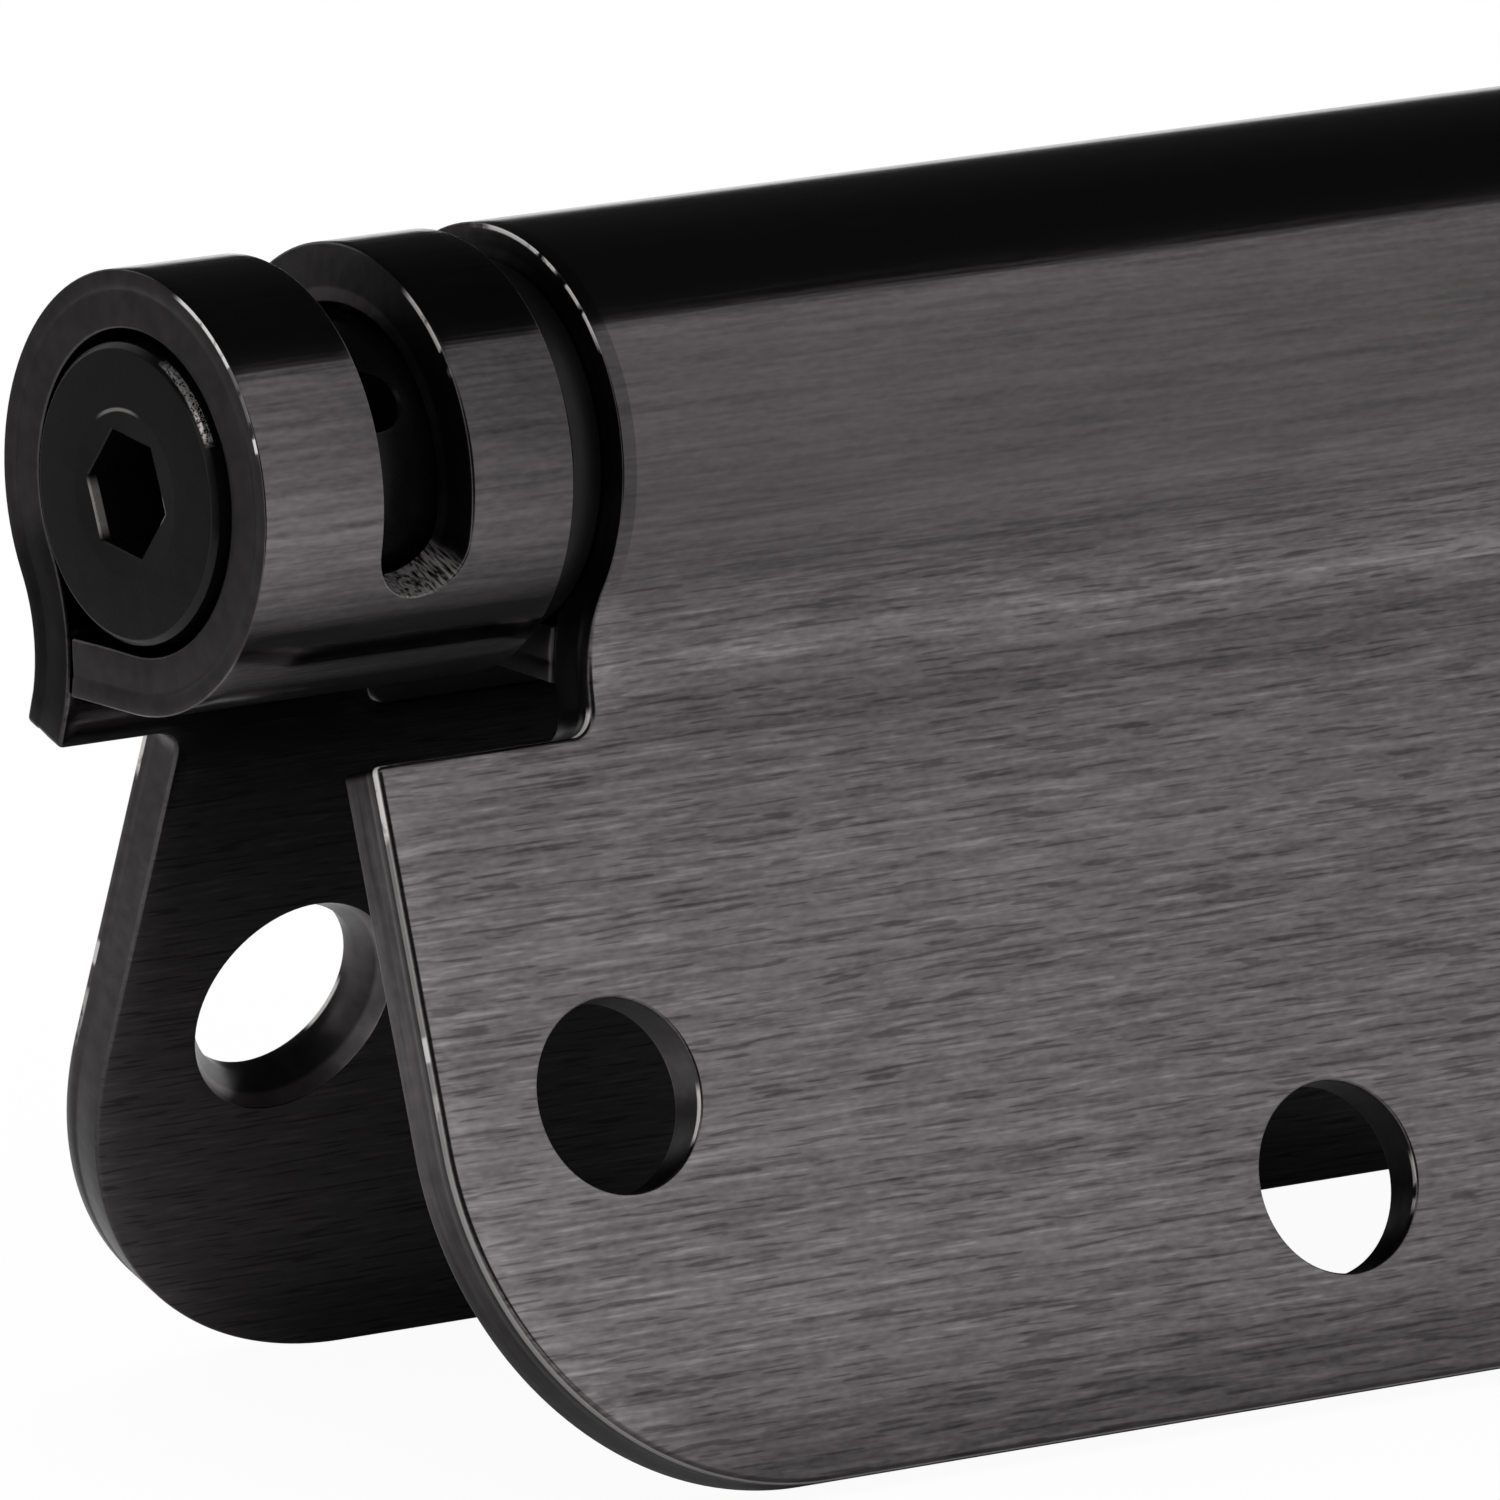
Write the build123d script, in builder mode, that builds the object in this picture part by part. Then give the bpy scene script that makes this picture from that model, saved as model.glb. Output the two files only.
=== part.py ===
from build123d import *

import os
from math import asin, atan2, cos, degrees, isclose, radians, sin, sqrt

# Self-closing butt hinge: two folded steel leaves share one barrel, and a torsion spring inside
# the barrel drives them together. Lengths are in millimetres, angles in degrees.
# The barrel lies along X with its adjuster at the -X end. The hinge stands like a tent on the
# free edges of its leaves: the front leaf leans to -Y, the rear leaf to +Y, and Z is up.
# The origin is under the middle of the barrel, at the level of the free edges.

# Leaves
leaf_length = 88.9  # along the barrel
leaf_width = 44.45  # from the barrel's axis to the free edge
sheet = 2.5  # thickness of the steel
leaf_offset = 1.1  # from the barrel's axis to the inner face of a leaf
corner_radius = 15.875
open_angle = 38.0  # between the two leaves as they stand
notch_depth = 12.7  # from the barrel's axis to the bottom of a notch
notch_radius = 1.2
front_slide = 0.7  # how far end play has let the front leaf slide towards +X

# Knuckles
barrel_diameter = 18.4
short_knuckle = 15.5
knuckle_overhang = 6.2  # what a short knuckle stands out past the end of its leaf
knuckle_gap = 1.8  # between neighbouring knuckles, with the front leaf in the middle
neck_radius = 7.0  # bend of the neck, on its outer face
tail_angle = 20.0  # where the curl's straight tail starts, counted from the leaf's plane
curl_seam = 0.12  # between the tail's end and the neck it butts against

# Slot for the tension pin, in the short knuckle at the -X end
slot_width = 4.4
slot_inset = 8.2  # from the barrel's end to the middle of the slot
slot_reach = 95.0  # each way from the side of the barrel opposite the leaf

# Screw holes, three in each leaf, sunk from the inner face
hole_diameter = 8.1
front_sink_diameter = 9.4
front_sink_angle = 90.0
front_hole_pitch = 71.0  # between the two outer holes
front_hole_drop = 27.5  # of the outer holes, from the barrel's axis
rear_sink_diameter = 9.9
rear_sink_angle = 62.0
rear_hole_pitch = 70.4
rear_hole_drop = 27.1
middle_hole_drop = 35.5

# Adjuster hub
hub_clearance = 0.45  # around the hub in the short knuckle
hub_overhang = 0.45  # what the hub stands out past the barrel's end
hub_chamfer = 0.25
hub_shoulder_gap = 0.3  # between the hub's shoulder and the bush it faces
dish_diameter = 7.0
dish_depth = 0.25
hex_across_flats = 4.76
hex_depth = 6.0
hex_angle = 37.0  # of one corner, from straight up towards the front
pin_hole_diameter = 2.8
pin_hole_angle = 52.6  # of the first hole, from straight up towards the front
pin_hole_count = 2
pin_hole_spacing = 90.0

# Journals and bushes
bush_length = 6.0  # inside the knuckle
bush_wall = 1.68
seat_clearance = 0.02  # around what is pressed into a knuckle
running_clearance = 0.05  # around a journal
flange_inset = 1.4  # of a bush's flange, inside the barrel's outer face
near_flange = 1.6
far_flange = 0.9
journal_overhang = 1.0  # past the end of a bush

# Spring anchor and end plug
anchor_length = 10.0
anchor_recess = 0.3
plug_recess = 0.2
plug_length = 5.0
plug_chamfer = 0.5
nose_length = 5.0
nose_clearance = 0.5  # inside the coil
nose_slot_clearance = 0.15

# Torsion spring
wire_diameter = 2.2
spring_clearance = 0.5  # around the coil in the long knuckle
spring_end_gap = 0.3
spring_turns = 18
tang_bend = 1.7  # radius of the bend between the coil and a tang
tang_tip_gap = 1.0  # from a tang's tip to the inside of the coil

# Sizes that follow
half_open = open_angle / 2
outer_face = leaf_offset + sheet
barrel_radius = barrel_diameter / 2
bore_radius = barrel_radius - sheet
barrel_length = leaf_length + 2 * knuckle_overhang
long_knuckle = barrel_length - 2 * (short_knuckle + knuckle_gap)
pin_height = leaf_width * cos(radians(half_open)) - leaf_offset * sin(radians(half_open))
sheet_reach = barrel_diameter  # a cut this deep passes through everything at the barrel

# Places along the barrel, on X
near_end = -barrel_length / 2
far_end = barrel_length / 2
long_near = front_slide - long_knuckle / 2
long_far = front_slide + long_knuckle / 2
far_knuckle = far_end - short_knuckle
slot_place = near_end + slot_inset

# Hubs and spring, from the ends of the barrel inwards
hub_face = near_end - hub_overhang
hub_radius = bore_radius - hub_clearance
hub_shoulder = long_near - near_flange - hub_shoulder_gap
near_journal_end = long_near + bush_length + journal_overhang
near_nose_end = near_journal_end + nose_length
plug_face = far_end - plug_recess
far_journal_end = far_knuckle + bush_length + journal_overhang
anchor_face = long_far - anchor_recess - anchor_length
anchor_nose_end = anchor_face - nose_length
bush_radius = bore_radius - seat_clearance
bush_bore = bush_radius - bush_wall
flange_radius = barrel_radius - flange_inset
journal_radius = bush_bore - running_clearance
coil_radius = bore_radius - spring_clearance - wire_diameter / 2
coil_inside = coil_radius - wire_diameter / 2
nose_radius = coil_inside - nose_clearance
nose_slot_width = wire_diameter + 2 * nose_slot_clearance
nose_slot_depth = nose_length - nose_slot_clearance
coil_start = near_journal_end + spring_end_gap + wire_diameter / 2
coil_length = anchor_face - near_journal_end - 2 * spring_end_gap - wire_diameter
tang_turn = degrees(asin(tang_bend / (coil_radius - tang_bend)))
near_tang_angle = tang_turn
far_tang_angle = -360 * spring_turns - tang_turn

barrel_axis = Axis((0, 0, pin_height), (1, 0, 0))


def outward(side):
    """Outward normal of the front leaf (side -1) or the rear leaf (side 1)."""
    return Vector(0, side * cos(radians(half_open)), sin(radians(half_open)))


def leaf_plane(side, middle):
    """Plane through the axis, parallel to a leaf: x runs along the barrel, y up the leaf."""
    return Plane(origin=(middle, 0, pin_height), x_dir=(-side, 0, 0), z_dir=outward(side))


def section_plane(side, place):
    """Plane across the barrel: x points out of the leaf's outer face, y up the leaf."""
    return Plane(origin=(place, 0, pin_height), x_dir=outward(side), z_dir=(side, 0, 0))


def turning_plane(place):
    """Plane for the half outline of a turned piece: x runs along the barrel, y is the radius."""
    return Plane(origin=(place, 0, pin_height), x_dir=(1, 0, 0), z_dir=(0, -1, 0))


def radial_plane(place, angle):
    """Plane at the axis that faces a direction counted from straight up towards the front."""
    facing = (0, -sin(radians(angle)), cos(radians(angle)))
    return Plane(origin=(place, 0, pin_height), x_dir=(1, 0, 0), z_dir=facing)


def polar(radius, angle):
    """Point on the folded section, at an angle from the leaf's plane towards its outer face."""
    return radius * sin(radians(angle)), -radius * cos(radians(angle))


def tail_end(start, heading, bend_centre, stop_radius):
    """Where a line from start along heading meets the circle of stop_radius about bend_centre."""
    away = start - bend_centre
    along = away.dot(heading)
    travel = -along - sqrt(along**2 - away.dot(away) + stop_radius**2)
    return start + heading * travel


def folded_section(side, place):
    """Section of the folded sheet: leaf, neck bent outwards, curl, and the tail that closes it."""
    bend_x = outer_face + neck_radius
    bend_y = -sqrt((barrel_radius + neck_radius) ** 2 - bend_x**2)
    bend_centre = Vector(bend_x, bend_y)
    neck_angle = degrees(atan2(bend_x, -bend_y))
    crown_angle = (neck_angle + 360 - tail_angle) / 2
    # On the neck's bend, the point halfway between the leaf and the curl
    half_bend = radians((180 - neck_angle) / 2 + neck_angle - 90)
    half_way = Vector(-cos(half_bend), sin(half_bend))
    tail_heading = Vector(cos(radians(tail_angle)), -sin(radians(tail_angle)))
    stop_radius = neck_radius + sheet + curl_seam
    tail_outer = Vector(*polar(barrel_radius, -tail_angle))
    tail_inner = Vector(*polar(bore_radius, -tail_angle))
    with BuildSketch(section_plane(side, place)) as section:
        with BuildLine():
            Line((leaf_offset, -leaf_width), (outer_face, -leaf_width))
            Line((outer_face, -leaf_width), (outer_face, bend_y))
            ThreePointArc(
                (outer_face, bend_y),
                bend_centre + half_way * neck_radius,
                polar(barrel_radius, neck_angle),
            )
            ThreePointArc(
                polar(barrel_radius, neck_angle), polar(barrel_radius, crown_angle), tail_outer
            )
            Line(tail_outer, tail_end(tail_outer, tail_heading, bend_centre, stop_radius))
            Line(
                tail_end(tail_outer, tail_heading, bend_centre, stop_radius),
                tail_end(tail_inner, tail_heading, bend_centre, stop_radius),
            )
            Line(tail_end(tail_inner, tail_heading, bend_centre, stop_radius), tail_inner)
            ThreePointArc(
                tail_inner, polar(bore_radius, crown_angle), polar(bore_radius, neck_angle)
            )
            ThreePointArc(
                polar(bore_radius, neck_angle),
                bend_centre + half_way * (neck_radius + sheet),
                (leaf_offset, bend_y),
            )
            Line((leaf_offset, bend_y), (leaf_offset, -leaf_width))
        make_face()
    return section.sketch


def leaf_outline(side, middle, knuckle_length, knuckle_places):
    """Flat outline of a leaf with its knuckles, whose centres along the leaf are listed."""
    with BuildSketch(leaf_plane(side, middle)) as outline:
        with Locations((0, -leaf_width)):
            Rectangle(leaf_length, leaf_width - notch_depth, align=(Align.CENTER, Align.MIN))
        fillet(outline.vertices().group_by(Axis.Y)[0], corner_radius)
        with Locations(*[(place, -notch_depth) for place in knuckle_places]):
            Rectangle(knuckle_length, notch_depth + sheet_reach, align=(Align.CENTER, Align.MIN))
        # Only the corners where a knuckle rises from the leaf are rounded
        knuckle_ends = [place + end * knuckle_length / 2 for place in knuckle_places for end in (-1, 1)]
        rounded_at = [min(abs(knuckle_end), leaf_length / 2) for knuckle_end in knuckle_ends]
        notch_corners = outline.vertices().filter_by(
            lambda corner: isclose(corner.Y, -notch_depth, abs_tol=notch_radius)
            and any(isclose(abs(corner.X), place, abs_tol=notch_radius) for place in rounded_at)
        )
        fillet(notch_corners, notch_radius)
    return outline.sketch


def screw_places(side, middle, pitch, drop):
    """Where the three screws go, on the inner face, with each axis out of that face."""
    plane = leaf_plane(side, middle)
    spots = [(-pitch / 2, -drop), (0, -middle_hole_drop), (pitch / 2, -drop)]
    return [
        Plane(
            origin=plane.from_local_coords(Vector(x, y, leaf_offset)),
            x_dir=plane.x_dir,
            z_dir=-plane.z_dir,
        )
        for x, y in spots
    ]


def tang_route(coil_tip, onward):
    """Start, middle and end of the bend that carries the wire on inwards, and the tang's tip."""
    on_axis = Vector(coil_tip.X, 0, pin_height)
    outwards = (coil_tip - on_axis).normalized()
    bend_centre = on_axis + outwards * (coil_radius - tang_bend)
    whole_bend = 90 + tang_turn
    bend = [
        bend_centre + (outwards * cos(radians(turned)) + onward * sin(radians(turned))) * tang_bend
        for turned in (0, whole_bend / 2, whole_bend)
    ]
    return *bend, on_axis + (on_axis - bend[-1]).normalized() * (coil_inside - tang_tip_gap)


# Rear leaf: one folded sheet with a short knuckle at each end, the -X one slotted
with BuildPart() as rear_leaf:
    extrude(folded_section(1, near_end), amount=barrel_length)
    knuckle_place = (barrel_length - short_knuckle) / 2
    extrude(
        leaf_outline(1, 0, short_knuckle, [-knuckle_place, knuckle_place]),
        amount=sheet_reach,
        both=True,
        mode=Mode.INTERSECT,
    )
    with Locations(*screw_places(1, 0, rear_hole_pitch, rear_hole_drop)):
        CounterSinkHole(hole_diameter / 2, rear_sink_diameter / 2, sheet, rear_sink_angle)
    # The slot follows the barrel round, between two round ends
    slot_end = slot_reach - degrees(asin(slot_width / 2 / barrel_radius))
    with BuildSketch(section_plane(1, slot_place)):
        with BuildLine():
            Polyline(
                polar(sheet_reach, 180 - slot_end), (0, 0), polar(sheet_reach, 180 + slot_end)
            )
            ThreePointArc(
                polar(sheet_reach, 180 - slot_end),
                polar(sheet_reach, 180),
                polar(sheet_reach, 180 + slot_end),
            )
        make_face()
    extrude(amount=slot_width / 2, both=True, mode=Mode.SUBTRACT)
    for end_angle in (half_open - slot_end, half_open + slot_end):
        with BuildSketch(radial_plane(slot_place, end_angle)):
            Circle(slot_width / 2)
        extrude(amount=sheet_reach, mode=Mode.SUBTRACT)
rear_leaf.part.label = "rear_leaf"

# Front leaf: one folded sheet with the long knuckle that houses the spring
with BuildPart() as front_leaf:
    extrude(folded_section(-1, front_slide + leaf_length / 2), amount=leaf_length)
    extrude(
        leaf_outline(-1, front_slide, long_knuckle, [0]),
        amount=sheet_reach,
        both=True,
        mode=Mode.INTERSECT,
    )
    with Locations(*screw_places(-1, front_slide, front_hole_pitch, front_hole_drop)):
        CounterSinkHole(hole_diameter / 2, front_sink_diameter / 2, sheet, front_sink_angle)
front_leaf.part.label = "front_leaf"

# Near bush: a flanged sleeve in the long knuckle's -X end
with BuildPart() as near_bush:
    with BuildSketch(turning_plane(long_near)):
        with BuildLine():
            Polyline(
                (-near_flange, bush_bore),
                (bush_length, bush_bore),
                (bush_length, bush_radius),
                (0, bush_radius),
                (0, flange_radius),
                (-near_flange, flange_radius),
                close=True,
            )
        make_face()
    revolve(axis=barrel_axis)
near_bush.part.label = "near_bush"

# Far bush: the same in the far short knuckle, with a thinner flange towards the long knuckle
with BuildPart() as far_bush:
    with BuildSketch(turning_plane(far_knuckle)):
        with BuildLine():
            Polyline(
                (-far_flange, bush_bore),
                (bush_length, bush_bore),
                (bush_length, bush_radius),
                (0, bush_radius),
                (0, flange_radius),
                (-far_flange, flange_radius),
                close=True,
            )
        make_face()
    revolve(axis=barrel_axis)
far_bush.part.label = "far_bush"

# Adjuster hub: it fills the near short knuckle, runs in the near bush and holds the spring
with BuildPart() as adjuster_hub:
    with BuildSketch(turning_plane(0)):
        with BuildLine():
            Polyline(
                (hub_face + dish_depth, 0),
                (hub_face, dish_diameter / 2),
                (hub_face, hub_radius - hub_chamfer),
                (hub_face + hub_chamfer, hub_radius),
                (hub_shoulder, hub_radius),
                (hub_shoulder, journal_radius),
                (near_journal_end, journal_radius),
                (near_journal_end, nose_radius),
                (near_nose_end, nose_radius),
                (near_nose_end, 0),
                close=True,
            )
        make_face()
    revolve(axis=barrel_axis)
    with BuildSketch(
        Plane(
            origin=(hub_face, 0, pin_height),
            x_dir=(0, -sin(radians(hex_angle)), cos(radians(hex_angle))),
            z_dir=(-1, 0, 0),
        )
    ):
        RegularPolygon(hex_across_flats / 2, 6, major_radius=False)
    extrude(amount=-hex_depth, mode=Mode.SUBTRACT)
    for hole in range(pin_hole_count):
        with BuildSketch(radial_plane(slot_place, pin_hole_angle + hole * pin_hole_spacing)):
            Circle(pin_hole_diameter / 2)
        extrude(amount=hub_radius, both=True, mode=Mode.SUBTRACT)
    with BuildSketch(radial_plane(near_nose_end - nose_slot_depth / 2, near_tang_angle)):
        Rectangle(nose_slot_depth, nose_slot_width)
    extrude(amount=nose_radius, both=True, mode=Mode.SUBTRACT)
adjuster_hub.part.label = "adjuster_hub"

# Spring anchor: pressed into the long knuckle's far end, with a journal in the far bush
with BuildPart() as spring_anchor:
    with BuildSketch(turning_plane(0)):
        with BuildLine():
            Polyline(
                (anchor_nose_end, 0),
                (anchor_nose_end, nose_radius),
                (anchor_face, nose_radius),
                (anchor_face, bush_radius),
                (long_far - anchor_recess, bush_radius),
                (long_far - anchor_recess, journal_radius),
                (far_journal_end, journal_radius),
                (far_journal_end, 0),
                close=True,
            )
        make_face()
    revolve(axis=barrel_axis)
    with BuildSketch(radial_plane(anchor_nose_end + nose_slot_depth / 2, far_tang_angle)):
        Rectangle(nose_slot_depth, nose_slot_width)
    extrude(amount=nose_radius, both=True, mode=Mode.SUBTRACT)
spring_anchor.part.label = "spring_anchor"

# End plug: closes the far short knuckle
with BuildPart() as end_plug:
    with BuildSketch(turning_plane(0)):
        with BuildLine():
            Polyline(
                (plug_face - plug_length, 0),
                (plug_face - plug_length, bush_radius),
                (plug_face - plug_chamfer, bush_radius),
                (plug_face, bush_radius - plug_chamfer),
                (plug_face, 0),
                close=True,
            )
        make_face()
    revolve(axis=barrel_axis)
end_plug.part.label = "end_plug"

# Torsion spring: wound left-hand, so that turning the hub towards the front from the top
# winds it up. At each end its wire turns inwards to a tang across the axis.
with BuildPart() as torsion_spring:
    with BuildLine() as wire_path:
        coil = Helix(
            coil_length / spring_turns,
            coil_length,
            coil_radius,
            center=(coil_start, 0, pin_height),
            direction=(1, 0, 0),
            lefthand=True,
        )
        for end, onward in ((coil @ 0, -(coil % 0)), (coil @ 1, coil % 1)):
            bend_start, bend_middle, bend_finish, tang_tip = tang_route(end, onward)
            ThreePointArc(bend_start, bend_middle, bend_finish)
            Line(bend_finish, tang_tip)
    whole_wire = Wire(wire_path.line.edges())
    with BuildSketch(Plane(origin=whole_wire @ 0, z_dir=whole_wire % 0)):
        Circle(wire_diameter / 2)
    sweep(path=whole_wire)
torsion_spring.part.label = "torsion_spring"

os.makedirs("parts", exist_ok=True)
for piece in (
    rear_leaf,
    front_leaf,
    near_bush,
    far_bush,
    adjuster_hub,
    spring_anchor,
    end_plug,
    torsion_spring,
):
    export_step(piece.part, f"parts/{piece.part.label}.step")
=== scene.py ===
"""Visual model of a self-closing butt hinge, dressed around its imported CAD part.

Two folded leaves of brushed, black-plated steel share a barrel. The flat blank of each leaf is
drawn with its cut edges and holes, and a Geometry Nodes tree folds it round the barrel. The hub,
the bushes and the plug are turned, and the spring is swept along its coil.
"""

import logging
import math
from abc import ABC, abstractmethod
from collections.abc import Sequence
from dataclasses import dataclass, field
from enum import Enum
from typing import Any, ClassVar, NamedTuple, Protocol

import bmesh
import bpy
import numpy as np
from mathutils import Euler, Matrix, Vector
from mathutils.geometry import delaunay_2d_cdt


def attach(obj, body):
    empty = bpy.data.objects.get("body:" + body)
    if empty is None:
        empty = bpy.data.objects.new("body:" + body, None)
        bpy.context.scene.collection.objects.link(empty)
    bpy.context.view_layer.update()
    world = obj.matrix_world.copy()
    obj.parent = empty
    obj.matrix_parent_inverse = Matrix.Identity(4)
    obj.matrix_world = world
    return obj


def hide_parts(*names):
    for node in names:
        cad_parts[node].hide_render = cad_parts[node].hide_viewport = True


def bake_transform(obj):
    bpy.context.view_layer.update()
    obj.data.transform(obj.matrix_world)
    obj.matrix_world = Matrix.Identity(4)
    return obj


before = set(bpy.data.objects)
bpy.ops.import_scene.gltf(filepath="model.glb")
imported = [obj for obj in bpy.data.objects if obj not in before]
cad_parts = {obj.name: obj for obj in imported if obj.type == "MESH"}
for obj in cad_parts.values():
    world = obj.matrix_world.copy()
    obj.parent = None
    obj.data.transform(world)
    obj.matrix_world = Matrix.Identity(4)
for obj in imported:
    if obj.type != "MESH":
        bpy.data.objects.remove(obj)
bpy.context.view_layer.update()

MM = 0.001
SAME_POINT = 1e-7  # metres between points that count as one
LEAST_SQUARE = 1e-18  # of a length that something is divided by, in square metres
BLANK_MARK = "blank"  # a leaf's own coordinates: along the barrel, up the flat sheet, out of it
CUT_MARK = "cut"  # 1 on a sheared or drilled wall, 0 on the brushed faces
RIM_MARK = "rim"  # 1 along the burr between a wall and its rounded rim
BAND_MARK = "band"  # 1 on a sheared wall, which shows bands, 0 on a drilled one
REACH_MARK = "reach"  # distance to the blank's outline, in metres

MATH, VECTOR = "ShaderNodeMath", "ShaderNodeVectorMath"
RANGE, NOISE = "ShaderNodeMapRange", "ShaderNodeTexNoise"
SEPARATE, COMBINE = "ShaderNodeSeparateXYZ", "ShaderNodeCombineXYZ"
MIX_SHADER = "ShaderNodeMixShader"
MIX = "ShaderNodeMix"  # its factor is input 0, its numbers are 2 and 3 and its colours 6 and 7
FLOAT, COLOUR = {"data_type": "FLOAT"}, {"data_type": "RGBA"}
SMOOTH = {"interpolation_type": "SMOOTHSTEP"}
WHITE = "#ffffff"

log = logging.getLogger("hinge")


class Side(Enum):
    """The two leaves, by the way that each one's outer face looks along Y."""

    FRONT = -1
    REAR = 1


class Body(str, Enum):
    """The bodies that pieces ride on."""

    REAR = "rear_leaf"
    FRONT = "front_leaf"
    ADJUSTER = "adjuster"


class Slot(str, Enum):
    """The material slots of the part."""

    LEAF = "leaf_steel"
    HUB = "hub_steel"
    BUSH = "bush_plastic"
    SPRING = "spring_wire"


@dataclass(frozen=True)
class HingeSizes:
    """Sizes that the hinge's pieces share, in metres and radians."""

    leaf_length: float = 88.9 * MM
    leaf_width: float = 44.45 * MM
    sheet: float = 2.5 * MM
    leaf_offset: float = 1.1 * MM
    half_open: float = math.radians(19.0)
    corner_radius: float = 15.875 * MM
    notch_depth: float = 12.7 * MM
    notch_radius: float = 1.2 * MM
    front_slide: float = 0.7 * MM
    barrel_radius: float = 9.2 * MM
    short_knuckle: float = 15.5 * MM
    knuckle_overhang: float = 6.2 * MM
    knuckle_gap: float = 1.8 * MM
    neck_radius: float = 7.0 * MM
    tail_angle: float = math.radians(20.0)
    curl_seam: float = 0.12 * MM
    slot_inset: float = 8.2 * MM
    hub_overhang: float = 0.45 * MM
    plug_recess: float = 0.2 * MM
    bush_length: float = 6.0 * MM
    bush_wall: float = 1.68 * MM
    seat_clearance: float = 0.02 * MM
    running_clearance: float = 0.05 * MM
    journal_overhang: float = 1.0 * MM
    nose_length: float = 5.0 * MM
    nose_clearance: float = 0.5 * MM
    near_flange: float = 1.6 * MM
    wire_diameter: float = 2.2 * MM
    tang_bend: float = 1.7 * MM
    spring_clearance: float = 0.5 * MM

    @property
    def outer_face(self) -> float:
        """Distance from the barrel's axis to a leaf's outer face."""
        return self.leaf_offset + self.sheet

    @property
    def bore_radius(self) -> float:
        """Inside radius of the knuckles."""
        return self.barrel_radius - self.sheet

    @property
    def bush_radius(self) -> float:
        """Outside radius of what is pressed into a knuckle."""
        return self.bore_radius - self.seat_clearance

    @property
    def bush_bore(self) -> float:
        """Inside radius of a bush."""
        return self.bush_radius - self.bush_wall

    @property
    def journal_radius(self) -> float:
        """Radius of what turns in a bush."""
        return self.bush_bore - self.running_clearance

    @property
    def coil_radius(self) -> float:
        """Radius of the line that the spring's wire follows."""
        return self.bore_radius - self.spring_clearance - self.wire_diameter / 2

    @property
    def coil_inside(self) -> float:
        """Inside radius of the coil."""
        return self.coil_radius - self.wire_diameter / 2

    @property
    def nose_radius(self) -> float:
        """Radius of the noses that hold the spring's ends."""
        return self.coil_inside - self.nose_clearance

    @property
    def barrel_length(self) -> float:
        """Length over both short knuckles."""
        return self.leaf_length + 2 * self.knuckle_overhang

    @property
    def long_knuckle(self) -> float:
        """Length of the front leaf's knuckle."""
        return self.barrel_length - 2 * (self.short_knuckle + self.knuckle_gap)

    @property
    def pin_height(self) -> float:
        """Height of the barrel's axis above the free edges."""
        slant = self.leaf_width * math.cos(self.half_open)
        return slant - self.leaf_offset * math.sin(self.half_open)

    @property
    def near_end(self) -> float:
        """Place of the barrel's -X end."""
        return -self.barrel_length / 2

    @property
    def long_near(self) -> float:
        """Place of the long knuckle's -X end."""
        return self.front_slide - self.long_knuckle / 2

    @property
    def long_far(self) -> float:
        """Place of the long knuckle's +X end."""
        return self.front_slide + self.long_knuckle / 2

    @property
    def journal_end(self) -> float:
        """Place where the hub's journal ends, past the near bush."""
        return self.long_near + self.bush_length + self.journal_overhang

    @property
    def nose_end(self) -> float:
        """Place where the hub's nose ends, inside the coil."""
        return self.journal_end + self.nose_length

    @property
    def hub_face(self) -> float:
        """Place of the hub's face."""
        return self.near_end - self.hub_overhang

    @property
    def slot_place(self) -> float:
        """Place of the tension pin's slot and holes."""
        return self.near_end + self.slot_inset


SIZES = HingeSizes()


def linear(colour: str) -> tuple[float, float, float, float]:
    """Turns an sRGB hex colour to the linear colour that shaders take.

    Args:
        colour: Six hex digits after a hash sign.

    Returns:
        Linear red, green and blue, and an alpha of 1.
    """
    channels = (int(colour[place : place + 2], 16) / 255 for place in (1, 3, 5))
    red, green, blue = (
        value / 12.92 if value <= 0.04045 else ((value + 0.055) / 1.055) ** 2.4
        for value in channels
    )
    return red, green, blue, 1.0


def add_node(
    tree: bpy.types.NodeTree,
    kind: str,
    settings: dict[str, Any] | str | None = None,
    links: dict[str | int, Any] | Sequence[Any] = (),
) -> bpy.types.Node:
    """Adds a node to a tree, with its settings and links.

    Args:
        tree: The shader or geometry tree that gets the node.
        kind: The node's type.
        settings: The node's properties by name, or just its operation.
        links: What its inputs get, by their name or place, or one after another. A node stands
            for the first output that it uses, a socket is linked, and anything else is set as
            the input's value.

    Returns:
        The new node.
    """
    node = tree.nodes.new(kind)
    if isinstance(settings, str):
        settings = {"operation": settings}
    for name, value in (settings or {}).items():
        setattr(node, name, value)
    for place, given in links.items() if isinstance(links, dict) else enumerate(links):
        if isinstance(given, bpy.types.Node):
            given = next(socket for socket in given.outputs if socket.enabled)
        if isinstance(given, bpy.types.NodeSocket):
            tree.links.new(given, node.inputs[place])
        else:
            node.inputs[place].default_value = given
    return node


def start_tree(name: str, inputs: dict[str, str]) -> bpy.types.NodeTree:
    """Starts a Geometry Nodes tree with a shape in, a shape out and named inputs.

    Args:
        name: The tree's name.
        inputs: Kind of each input's socket, by the input's name.

    Returns:
        The tree, without nodes.
    """
    tree = bpy.data.node_groups.new(name, "GeometryNodeTree")
    for way in ("INPUT", "OUTPUT"):
        tree.interface.new_socket("Geometry", in_out=way, socket_type="NodeSocketGeometry")
    for label, kind in inputs.items():
        tree.interface.new_socket(label, in_out="INPUT", socket_type=f"NodeSocket{kind}")
    return tree


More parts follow.
